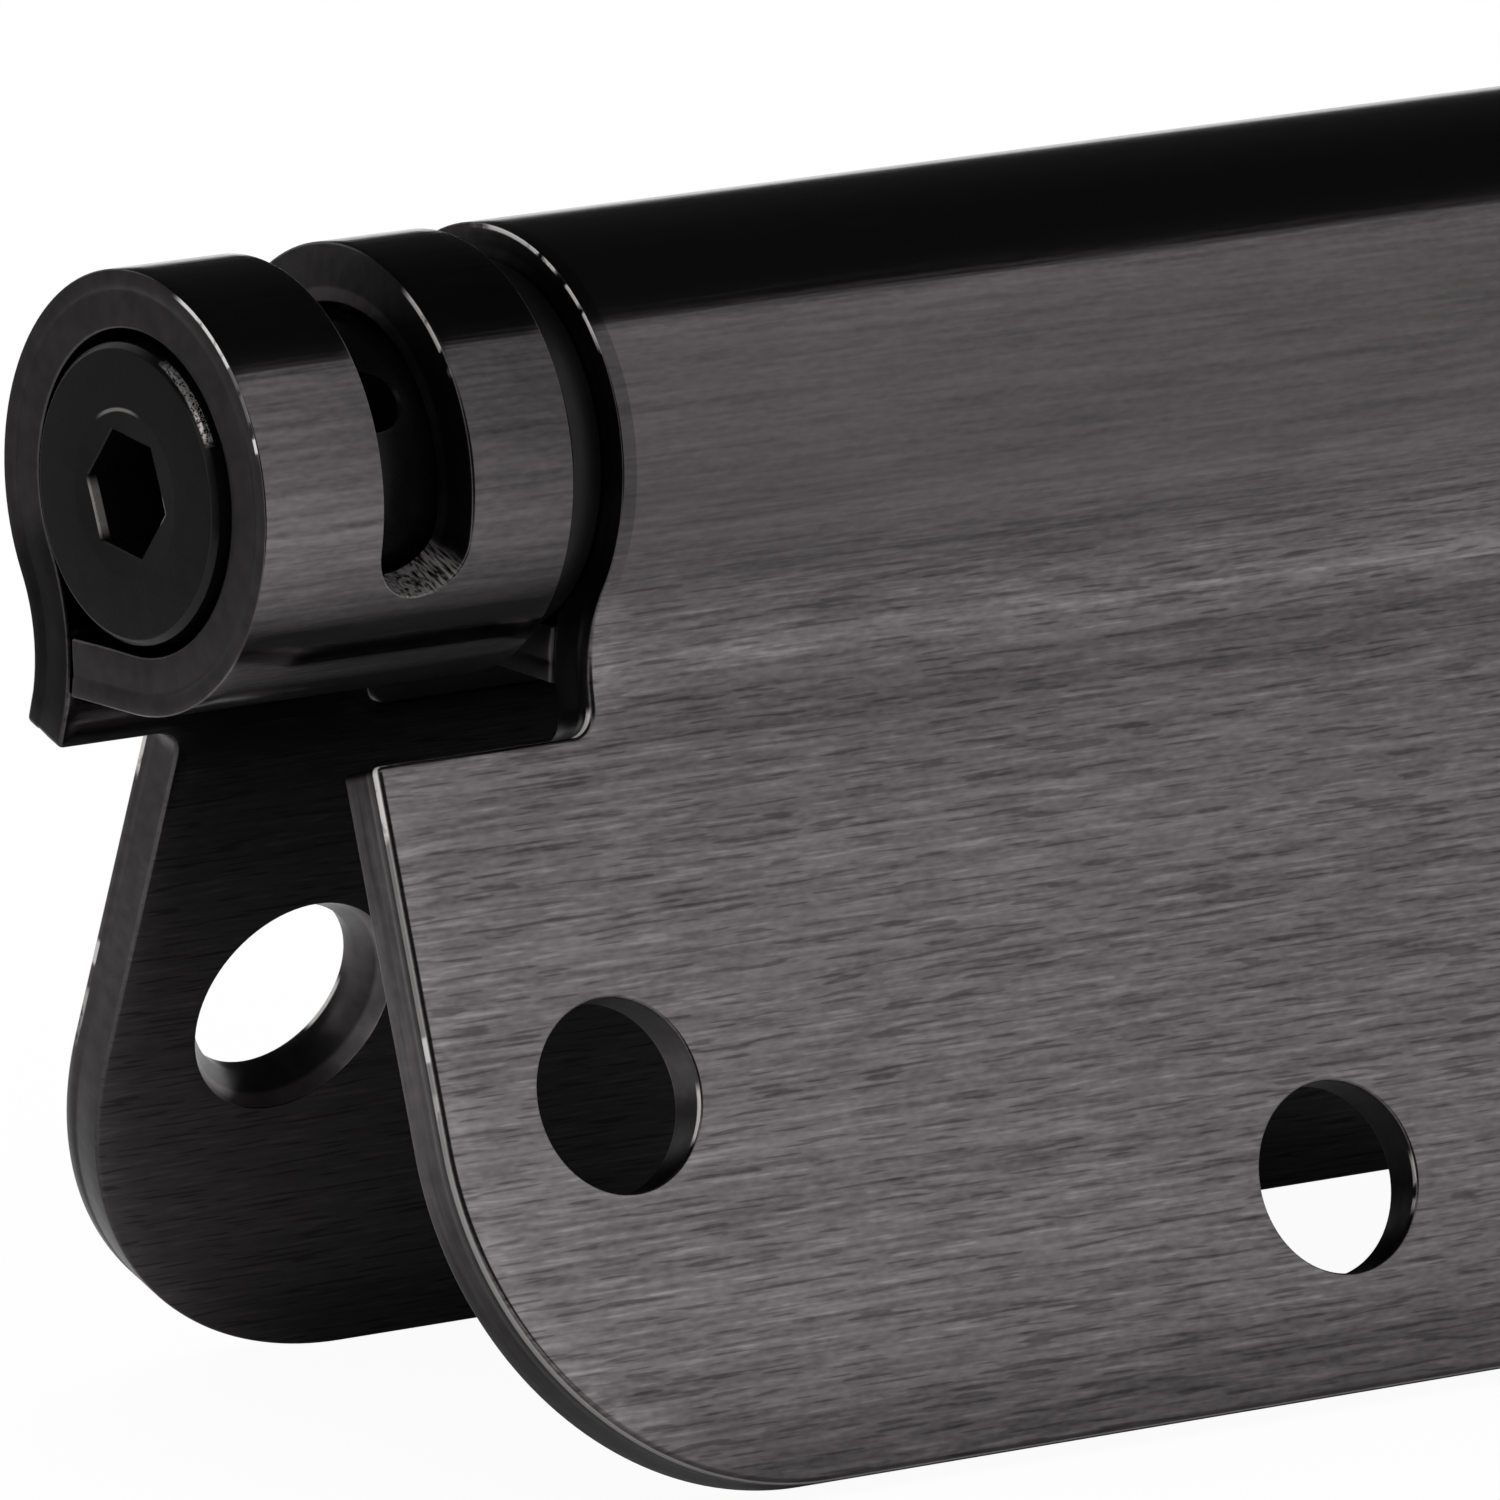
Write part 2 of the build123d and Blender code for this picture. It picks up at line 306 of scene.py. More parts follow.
def end_tree(
    tree: bpy.types.NodeTree, shape: bpy.types.Node, finish: bpy.types.NodeSocket
) -> None:
    """Ends a Geometry Nodes tree.

    Args:
        tree: The tree.
        shape: The node that gives the shape.
        finish: The input that gives its material.
    """
    real = add_node(tree, "GeometryNodeRealizeInstances", links=[shape])
    dressed = add_node(
        tree, "GeometryNodeSetMaterial", links={"Geometry": real, "Material": finish}
    )
    add_node(tree, "NodeGroupOutput", links=[dressed])


def run_tree(
    piece: bpy.types.Object, tree: bpy.types.NodeTree, inputs: dict[str, Any]
) -> None:
    """Runs a Geometry Nodes tree on a piece and keeps its result as the piece's plain mesh.

    Args:
        piece: The object whose mesh goes in and comes out.
        tree: The tree to run.
        inputs: Values of the tree's inputs, by the inputs' names.
    """
    modifier = piece.modifiers.new(tree.name, "NODES")
    modifier.node_group = tree
    for socket in tree.interface.items_tree:
        if socket.in_out == "INPUT" and socket.name in inputs:
            modifier[socket.identifier] = inputs[socket.name]
    keep_result(piece)


def keep_result(piece: bpy.types.Object) -> None:
    """Replaces a piece's mesh by what its modifiers make of it, and removes them."""
    graph = bpy.context.evaluated_depsgraph_get()
    graph.update()
    result = bpy.data.meshes.new_from_object(piece.evaluated_get(graph), depsgraph=graph)
    piece.modifiers.clear()
    piece.data = result
    result.name = piece.name


def new_piece(name: str, mesh: bpy.types.Mesh) -> bpy.types.Object:
    """Links a new object for a mesh, at the origin."""
    piece = bpy.data.objects.new(name, mesh)
    bpy.context.scene.collection.objects.link(piece)
    return piece


def place_piece(piece: bpy.types.Object, body: Body, node: str) -> None:
    """Tells what a rigid piece rides on, and hides the node that it replaces."""
    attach(piece, body.value)
    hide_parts(node)


def smooth(mesh: bpy.types.Mesh, angle: float = math.radians(34.0)) -> None:
    """Shades a mesh smooth, apart from edges sharper than an angle."""
    mesh.shade_smooth()
    mesh.set_sharp_from_angle(angle=angle)


def close_mesh(work: bmesh.types.BMesh, mesh: bpy.types.Mesh) -> bpy.types.Mesh:
    """Turns all faces outwards and writes them to a mesh."""
    bmesh.ops.recalc_face_normals(work, faces=work.faces)
    work.to_mesh(mesh)
    work.free()
    return mesh


# Outlines and turned profiles


@dataclass(frozen=True)
class Corner:
    """A corner of an outline: where its two edges meet, and how it is rounded."""

    along: float
    across: float
    radius: float = 0.0
    steps: int = 1
    on_tail: bool = False  # moves with the slanted end of the tail


class Loop(Protocol):
    """A closed line on the blank with material on its left."""

    def ring(self, inset: float, depth: float) -> np.ndarray:
        """Points of the line, moved into the material, at a depth below the outer face."""


@dataclass
class Outline:
    """A closed line of straight edges and rounded corners, counter-clockwise."""

    corners: Sequence[Corner]
    columns: np.ndarray = field(default_factory=lambda: np.array([]))
    rows: np.ndarray = field(default_factory=lambda: np.array([]))
    margin: float = 0.7 * MM

    def stations(self, start: Corner, end: Corner) -> np.ndarray:
        """Grid lines that cross an edge between the roundings of its two corners.

        Args:
            start: The corner that the edge leaves.
            end: The corner that it reaches.

        Returns:
            Their places along the edge's own direction, in the order of the walk.
        """
        level = math.isclose(start.across, end.across)
        lines = self.columns if level else self.rows
        first, last = (start.along, end.along) if level else (start.across, end.across)
        forward = 1 if last > first else -1
        low = first * forward + start.radius + self.margin
        high = last * forward - end.radius - self.margin
        inside = lines[(lines * forward > low) & (lines * forward < high)]
        return inside if forward > 0 else inside[::-1]

    def ring(self, inset: float, depth: float) -> np.ndarray:
        """Points of the line, moved into the material, at a depth below the outer face.

        Args:
            inset: How far the line moves into the material.
            depth: Depth below the outer face, which places the tail's end.

        Returns:
            The points, one per line of the array.
        """
        lift = tail_lift(depth) - tail_lift(0.0)
        places = [
            np.array([c.along, c.across + (lift if c.on_tail else 0.0)]) for c in self.corners
        ]
        walk: list[np.ndarray] = []
        count = len(places)
        for number, corner in enumerate(self.corners):
            here, after = places[number], places[(number + 1) % count]
            came = (here - places[number - 1]) / np.linalg.norm(here - places[number - 1])
            goes = (after - here) / np.linalg.norm(after - here)
            came_left, goes_left = np.array([-came[1], came[0]]), np.array([-goes[1], goes[0]])
            mitre = here + inset * (came_left + goes_left) / (1 + came_left @ goes_left)
            bend = math.atan2(came[0] * goes[1] - came[1] * goes[0], came @ goes)
            turn = math.copysign(1.0, bend)
            if corner.radius == 0:
                walk.append(mitre)
            else:
                radius = max(corner.radius - inset * turn, 0.0)
                start = mitre - came * radius * math.tan(abs(bend) / 2)
                centre = start + came_left * turn * radius
                for step in range(corner.steps + 1):
                    angle = bend * step / corner.steps
                    spoke = start - centre
                    turned = np.array(
                        [
                            spoke[0] * math.cos(angle) - spoke[1] * math.sin(angle),
                            spoke[0] * math.sin(angle) + spoke[1] * math.cos(angle),
                        ]
                    )
                    walk.append(centre + turned)
            following = self.corners[(number + 1) % count]
            level = math.isclose(corner.across, following.across)
            for station in self.stations(corner, following):
                walk.append(
                    np.array([station, mitre[1]]) if level else np.array([mitre[0], station])
                )
        return np.array(walk)


@dataclass(frozen=True)
class RoundHole:
    """A drilled hole in the blank, walked clockwise."""

    along: float
    across: float
    radius: float
    steps: int = 80

    def ring(self, inset: float, depth: float) -> np.ndarray:
        """Points of the hole's edge, widened by the inset."""
        angles = -np.arange(self.steps) * 2 * math.pi / self.steps
        radius = self.radius + inset
        return np.stack(
            [self.along + radius * np.cos(angles), self.across + radius * np.sin(angles)], 1
        )


@dataclass(frozen=True)
class PinSlot:
    """The slot across the near knuckle, with two round ends, walked clockwise."""

    along: float
    low: float
    high: float
    half_width: float
    rows: np.ndarray
    steps: int = 28

    def ring(self, inset: float, depth: float) -> np.ndarray:
        """Points of the slot's edge, widened by the inset, at a depth below the outer face.

        Args:
            inset: How far the line moves into the material.
            depth: Depth below the outer face. The round ends are cut square to the barrel, so
                they take more of the sheet's turn the deeper they go.

        Returns:
            The points, one per line of the array.
        """
        radius = self.half_width + inset
        angles = math.pi - np.arange(self.steps + 1) * math.pi / self.steps
        around = SIZES.barrel_radius * np.arcsin(
            radius * np.sin(angles) / (SIZES.barrel_radius - depth)
        )
        sides = self.rows[(self.rows > self.low) & (self.rows < self.high)]
        upper = np.stack([self.along + radius * np.cos(angles), self.high + around], 1)
        lower = np.stack([self.along - radius * np.cos(angles), self.low - around], 1)
        down = np.stack([np.full(len(sides), self.along + radius), sides[::-1]], 1)
        up = np.stack([np.full(len(sides), self.along - radius), sides], 1)
        return np.concatenate([upper, down, lower, up])


def tail_lift(depth: float) -> float:
    """Straight length of the curl's tail, up to the neck that it butts against.

    Args:
        depth: Depth below the outer face.

    Returns:
        The length at that depth, in metres.
    """
    bend = FoldedSheet.bend_centre()
    heading = np.array([math.cos(SIZES.tail_angle), -math.sin(SIZES.tail_angle)])
    radius = SIZES.barrel_radius - depth
    start = radius * np.array([-math.sin(SIZES.tail_angle), -math.cos(SIZES.tail_angle)])
    away = start - bend
    stop = SIZES.neck_radius + SIZES.sheet + SIZES.curl_seam
    return -(away @ heading) - math.sqrt((away @ heading) ** 2 - away @ away + stop**2)


class FoldedSheet:
    """The rule that folds a flat blank round the barrel."""

    @staticmethod
    def bend_centre() -> np.ndarray:
        """Centre of the neck's bend, from the barrel's axis: out of the leaf, then up it."""
        out = SIZES.outer_face + SIZES.neck_radius
        return np.array([out, -math.sqrt((SIZES.barrel_radius + SIZES.neck_radius) ** 2 - out**2)])

    @classmethod
    def neck_turn(cls) -> float:
        """How far the neck bends outwards before the curl turns it back."""
        out, up = cls.bend_centre()
        return math.pi / 2 - math.atan2(out, -up)

    @classmethod
    def curl_turn(cls) -> float:
        """How far the curl turns round the barrel."""
        return 1.5 * math.pi + cls.neck_turn() - SIZES.tail_angle

    @classmethod
    def neck_start(cls) -> float:
        """Distance up the blank at which the neck's bend starts."""
        return SIZES.leaf_width + cls.bend_centre()[1]

    @classmethod
    def curl_start(cls) -> float:
        """Distance up the blank at which the curl starts."""
        return cls.neck_start() + SIZES.neck_radius * cls.neck_turn()

    @classmethod
    def tail_start(cls) -> float:
        """Distance up the blank at which the straight tail starts."""
        return cls.curl_start() + SIZES.barrel_radius * cls.curl_turn()

    @classmethod
    def curl_place(cls, around: float) -> float:
        """Distance up the blank of a point on the curl, from its angle round the barrel."""
        start = math.pi / 2 - cls.neck_turn()
        return cls.curl_start() + SIZES.barrel_radius * (around - start)

    # The fold in steps of one operation each: the step's name, its operation and what it takes,
    # which is a number, an input of the tree, a coordinate on the blank or an earlier step
    STEPS = (
        # Lengths up the blank at which the neck, the curl and the tail start
        ("bend out", "ADD", "Outer Face", "Neck Radius"),
        ("bend reach", "ADD", "Barrel Radius", "Neck Radius"),
        ("bend share", "DIVIDE", "bend out", "bend reach"),
        ("bend angle", "ARCSINE", "bend share"),
        ("bend cosine", "COSINE", "bend angle"),
        ("bend drop", "MULTIPLY", "bend reach", "bend cosine"),
        ("neck start", "SUBTRACT", "Leaf Width", "bend drop"),
        ("curl start", "MULTIPLY_ADD", "Neck Radius", "Neck Turn", "neck start"),
        ("tail start", "MULTIPLY_ADD", "Barrel Radius", "Curl Turn", "curl start"),
        # How far each bend has turned at this point
        ("past neck", "SUBTRACT", "Y", "neck start"),
        ("neck share", "DIVIDE", "past neck", "Neck Radius"),
        ("neck", "CLAMP", "neck share", 0.0, "Neck Turn"),
        ("past curl", "SUBTRACT", "Y", "curl start"),
        ("curl share", "DIVIDE", "past curl", "Barrel Radius"),
        ("curl", "CLAMP", "curl share", 0.0, "Curl Turn"),
        ("past tail", "SUBTRACT", "Y", "tail start"),
        ("tail", "MAXIMUM", "past tail", 0.0),
        ("straight", "MINIMUM", "Y", "neck start"),
        # Heading of the sheet here, and where the curl's heading starts
        ("curl heading", "SUBTRACT", math.pi / 2, "Neck Turn"),
        ("bent", "SUBTRACT", "curl", "neck"),
        ("heading", "ADD", "bent", math.pi / 2),
        ("curled", "ADD", "curl heading", "curl"),
        ("heading cos", "COSINE", "heading"),
        ("heading sin", "SINE", "heading"),
        ("start cos", "COSINE", "curl heading"),
        ("start sin", "SINE", "curl heading"),
        ("curled cos", "COSINE", "curled"),
        ("curled sin", "SINE", "curled"),
        ("neck cos", "COSINE", "neck"),
        ("neck sin", "SINE", "neck"),
        # Outwards from the axis: outer face, neck, curl, tail, and then the depth in the sheet
        ("neck left", "SUBTRACT", 1.0, "neck cos"),
        ("out neck", "MULTIPLY_ADD", "Neck Radius", "neck left", "Outer Face"),
        ("out swing", "SUBTRACT", "curled sin", "start sin"),
        ("out curl", "MULTIPLY_ADD", "Barrel Radius", "out swing", "out neck"),
        ("out tail", "MULTIPLY_ADD", "tail", "heading cos", "out curl"),
        ("out", "MULTIPLY_ADD", "Z", "heading sin", "out tail"),
        # Up the leaf from the axis, in the same steps
        ("up straight", "SUBTRACT", "straight", "Leaf Width"),
        ("up neck", "MULTIPLY_ADD", "Neck Radius", "neck sin", "up straight"),
        ("up swing", "SUBTRACT", "start cos", "curled cos"),
        ("up curl", "MULTIPLY_ADD", "Barrel Radius", "up swing", "up neck"),
        ("up tail", "MULTIPLY_ADD", "tail", "heading sin", "up curl"),
        ("sunk", "MULTIPLY", "Z", "heading cos"),
        ("up", "SUBTRACT", "up tail", "sunk"),
        # The leaf leans to its side, with the barrel's axis at the pin's height
        ("lean cos", "COSINE", "Lean"),
        ("lean sin", "SINE", "Lean"),
        ("out level", "MULTIPLY", "out", "lean cos"),
        ("up level", "MULTIPLY", "up", "lean sin"),
        ("level", "SUBTRACT", "out level", "up level"),
        ("sideways", "MULTIPLY", "level", "Side"),
        ("out rise", "MULTIPLY_ADD", "out", "lean sin", "Pin Height"),
        ("rise", "MULTIPLY_ADD", "up", "lean cos", "out rise"),
        ("along", "ADD", "X", "Middle"),
    )
    NUMBERS = (
        "Leaf Width",
        "Outer Face",
        "Neck Radius",
        "Neck Turn",
        "Barrel Radius",
        "Curl Turn",
        "Lean",
        "Side",
        "Pin Height",
        "Middle",
    )

    @classmethod
    def tree(cls) -> bpy.types.NodeTree:
        """Builds the Geometry Nodes tree that folds a blank.

        A blank lies flat, with X along the barrel, Y up the sheet and Z out of its outer face.
        The tree walks up the sheet, bends it outwards at the neck, curls it back round the
        barrel and lays its tail straight, and then leans the leaf.

        Returns:
            The tree.
        """
        kinds = dict.fromkeys(cls.NUMBERS, "Float") | {"Mirrored": "Bool", "Finish": "Material"}
        tree = start_tree("Fold_sheet", kinds)
        given = add_node(tree, "NodeGroupInput").outputs
        flat = add_node(tree, SEPARATE, links=[add_node(tree, "GeometryNodeInputPosition")])
        found: dict[Any, Any] = {socket.name: socket for socket in (*given, *flat.outputs)}
        for name, operation, *takes in cls.STEPS:
            links = [found.get(taken, taken) for taken in takes]
            if operation == "CLAMP":
                found[name] = add_node(tree, "ShaderNodeClamp", links=links)
            else:
                found[name] = add_node(tree, MATH, operation, links)
        folded = add_node(tree, COMBINE, links=[found[n] for n in ("along", "sideways", "rise")])
        placed = add_node(
            tree,
            "GeometryNodeSetPosition",
            links={"Geometry": given["Geometry"], "Position": folded},
        )
        flipped = add_node(tree, "GeometryNodeFlipFaces", links={"Mesh": placed})
        facing_out = add_node(
            tree,
            "GeometryNodeSwitch",
            {"input_type": "GEOMETRY"},
            {"Switch": given["Mirrored"], "False": placed, "True": flipped},
        )
        end_tree(tree, facing_out, given["Finish"])
        return tree


# Blank of a leaf


class EdgeRow(NamedTuple):
    """One line of an edge's profile, from the outer face through the sheet."""

    inset: float
    depth: float
    cut: float
    rim: float


@dataclass(frozen=True)
class EdgeProfile:
    """How a cut edge of the sheet runs from the outer face to the inner one."""

    outer_round: float
    inner_round: float
    curl_round: float = 0.0  # the outer rounding where the sheet is curled, or 0 for the same
    banding: float = 0.0
    sheet: float = SIZES.sheet
    support: float = 0.6 * MM
    shear_place: float = 0.0  # depth of the step between the sheared and the torn band
    shear_step: float = 0.0
    sink_place: float = 0.0  # depth at which a countersink starts, or 0 where there is none
    sink_width: float = 0.0
    burr_reach: float = 0.20 * MM
    burr_share: float = 0.5  # share of the rounding after which the burr starts
    torn_share: float = 0.62  # share of the sheet's depth at which the torn band ends
    steps: int = 5

    def rows(self, rounding: float) -> list[EdgeRow]:
        """Lines of the profile, from the outer face's support line to the inner face's.

        Args:
            rounding: Radius of the outer rim.

        Returns:
            The lines, as many for any radius.
        """
        rows = [EdgeRow(self.outer_round + self.support, 0.0, 0.0, 0.0)]
        for step in range(self.steps + 1):
            angle = math.pi / 2 * step / self.steps
            burr_glint = max(step / self.steps - self.burr_share, 0.0) / (1 - self.burr_share)
            inset, depth = rounding * (1 - math.sin(angle)), rounding * (1 - math.cos(angle))
            rows.append(EdgeRow(inset, depth, step / self.steps, burr_glint))
        rows.append(EdgeRow(0.0, rounding + self.burr_reach, 1.0, 0.0))
        if self.shear_place:
            place, width = self.shear_place, self.shear_step
            rows += [
                EdgeRow(0.0, place, 1.0, 0.0),
                EdgeRow(width, place + 2 * width, 1.0, 0.0),
                EdgeRow(width, place + 8 * width, 1.0, 0.0),
                EdgeRow(0.0, self.sheet * self.torn_share, 1.0, 0.0),
            ]
        foot = 0.0
        if self.sink_place:
            rows.append(EdgeRow(0.0, self.sink_place, 1.0, 0.0))
            foot = self.sink_width - self.inner_round
        for step in range(self.steps + 1):
            angle = math.pi / 2 * step / self.steps
            inset = foot + self.inner_round * (1 - math.cos(angle))
            depth = self.sheet - self.inner_round * (1 - math.sin(angle))
            rows.append(EdgeRow(inset, depth, 1 - step / self.steps, 0.0))
        rows.append(EdgeRow(foot + self.inner_round + self.support, self.sheet, 0.0, 0.0))
        return rows


def distances(points: np.ndarray, ring: np.ndarray) -> np.ndarray:
    """Distance from each point to a closed line.

    Args:
        points: The points, one per line.
        ring: The closed line's points.

    Returns:
        The distance of each point.
    """
    starts, spans = ring, np.roll(ring, -1, axis=0) - ring
    lengths = np.maximum((spans**2).sum(1), LEAST_SQUARE)
    nearest = np.full(len(points), np.inf)
    for start, span, length in zip(starts, spans, lengths):
        share = np.clip((points - start) @ span / length, 0, 1)
        gap = points - start - share[:, None] * span
        nearest = np.minimum(nearest, (gap**2).sum(1))
    return np.sqrt(nearest)


def enclosed(points: np.ndarray, ring: np.ndarray) -> np.ndarray:
    """Tells which points lie inside a closed line.

    Args:
        points: The points, one per line.
        ring: The closed line's points.

    Returns:
        True for each point inside.
    """
    inside = np.zeros(len(points), bool)
    for start, end in zip(ring, np.roll(ring, -1, axis=0)):
        crosses = (start[1] > points[:, 1]) != (end[1] > points[:, 1])
        if crosses.any():
            slope = (end[0] - start[0]) / (end[1] - start[1])
            reach = start[0] + (points[:, 1] - start[1]) * slope
            inside ^= crosses & (points[:, 0] < reach)
    return inside


@dataclass
class Blank:
    """The flat blank of a leaf, with X along the barrel, Y up the sheet and Z out of it."""

    outline: Outline
    outline_profile: EdgeProfile
    openings: list[tuple[Loop, EdgeProfile]]
    columns: np.ndarray
    rows: np.ndarray
    margin: float = 0.28 * MM
    clear: float = 10.0 * MM  # counts as far from the outline
    same_place: float = 1e-4  # millimetres between points of a face that count as one
    same_line: float = 1e-5  # millimetres between a point and an edge that it counts as on
    points: list[tuple[float, float, float]] = field(default_factory=list)
    marks: list[tuple[float, float, float, float]] = field(default_factory=list)
    faces: list[tuple[int, ...]] = field(default_factory=list)

    def add_edge(self, loop: Loop, profile: EdgeProfile) -> tuple[np.ndarray, np.ndarray]:
        """Lays the strips of one cut edge.

        Args:
            loop: The line that the edge follows.
            profile: How it runs through the sheet.

        Returns:
            Numbers of the points of its first line and of its last one.
        """
        before: np.ndarray | None = None
        first: np.ndarray | None = None
        tight = profile.curl_round or profile.outer_round
        bend = (FoldedSheet.neck_start(), FoldedSheet.curl_start())
        for row, curled in zip(profile.rows(profile.outer_round), profile.rows(tight)):
            ring = loop.ring(row.inset, row.depth)
            share = np.interp(ring[:, 1], bend, (0.0, 1.0))[:, None]
            ring = ring + share * (loop.ring(curled.inset, curled.depth) - ring)
            depths = row.depth + share[:, 0] * (curled.depth - row.depth)
            numbers = np.arange(len(ring)) + len(self.points)
            self.points += [(*spot, -depth) for spot, depth in zip(ring, depths)]
            near = row.inset if loop is self.outline else self.clear
            self.marks += [(row.cut, row.rim, profile.banding, near)] * len(ring)
            if before is not None:
                for k, after in enumerate(np.roll(np.arange(len(ring)), -1)):
                    self.faces.append((before[k], numbers[k], numbers[after], before[after]))
            first = numbers if first is None else first
            before = numbers
        return first, before

    def add_face(self, rings: list[np.ndarray], depth: float, upward: bool) -> None:
        """Fills a face of the sheet between its edges with a regular mesh.

        Args:
            rings: Numbers of the points of its edges, the outline first.
            depth: Depth of the face below the outer one.
            upward: Whether the face looks out of the sheet's outer side.
        """
        lines = [np.array([self.points[n][:2] for n in ring]) for ring in rings]
        grid = np.stack(np.meshgrid(self.columns, self.rows), -1).reshape(-1, 2)
        grid = grid[enclosed(grid, lines[0]) & (distances(grid, lines[0]) > self.margin)]
        for line in lines[1:]:
            grid = grid[~enclosed(grid, line) & (distances(grid, line) > self.margin)]
        reach = distances(grid, self.outline.ring(0.0, depth))

        numbers: list[int] = []
        places: list[Vector] = []
        edges: list[tuple[int, int]] = []
        for ring, line in zip(rings, lines):
            walk: list[int] = []
            for number, place in zip(ring, line):
                if not walk or (Vector(place / MM) - places[walk[-1]]).length > self.same_place:
                    walk.append(len(places))
                    places.append(Vector(place / MM))
                    numbers.append(number)
            edges += list(zip(walk, walk[1:] + walk[:1]))
        for place, gap in zip(grid, reach):
            numbers.append(len(self.points))
            places.append(Vector(place / MM))
            self.points.append((place[0], place[1], -depth))
            self.marks.append((0.0, 0.0, 0.0, gap))
        made, _, triangles, sources, _, _ = delaunay_2d_cdt(
            places, edges, [], 0, self.same_line
        )
        spots = np.array([tuple(place) for place in made]) * MM
        middles = np.array([spots[list(t)].mean(0) for t in triangles])
        kept = enclosed(middles, lines[0])
        for line in lines[1:]:
            kept &= ~enclosed(middles, line)
        for triangle in (t for t, keep in zip(triangles, kept) if keep):
            a, b, c = (spots[n] for n in triangle)
            counter = (b[0] - a[0]) * (c[1] - a[1]) - (b[1] - a[1]) * (c[0] - a[0]) > 0
            order = triangle if counter == upward else triangle[::-1]
            self.faces.append(tuple(numbers[sources[n][0]] for n in order))

    def mesh(self, name: str) -> bpy.types.Mesh:
        """Builds the blank's mesh, with its marks as attributes.

        Args:
            name: Name of the mesh.

        Returns:
            The mesh.
        """
        starts, ends = zip(
            self.add_edge(self.outline, self.outline_profile),
            *(self.add_edge(loop, profile) for loop, profile in self.openings),
        )
        self.add_face(list(starts), 0.0, True)
        self.add_face(list(ends), SIZES.sheet, False)
        mesh = bpy.data.meshes.new(name)
        mesh.from_pydata(self.points, [], self.faces)
        marks = np.array(self.marks, np.float32)
        for place, mark in enumerate((CUT_MARK, RIM_MARK, BAND_MARK, REACH_MARK)):
            mesh.attributes.new(mark, "FLOAT", "POINT").data.foreach_set("value", marks[:, place])
        blank = mesh.attributes.new(BLANK_MARK, "FLOAT_VECTOR", "POINT")
        blank.data.foreach_set("vector", np.array(self.points, np.float32).ravel())
        work = bmesh.new()
        work.from_mesh(mesh)
        bmesh.ops.remove_doubles(work, verts=work.verts, dist=SAME_POINT)
        bmesh.ops.dissolve_degenerate(work, edges=work.edges, dist=SAME_POINT / 10)
        work.to_mesh(mesh)
        work.free()
        smooth(mesh)
        return mesh


class ScrewHoles(NamedTuple):
    """Where a leaf's outer screw holes are, and how they are sunk from its inner face."""

    pitch: float
    drop: float
    sink_radius: float
    sink_angle: float


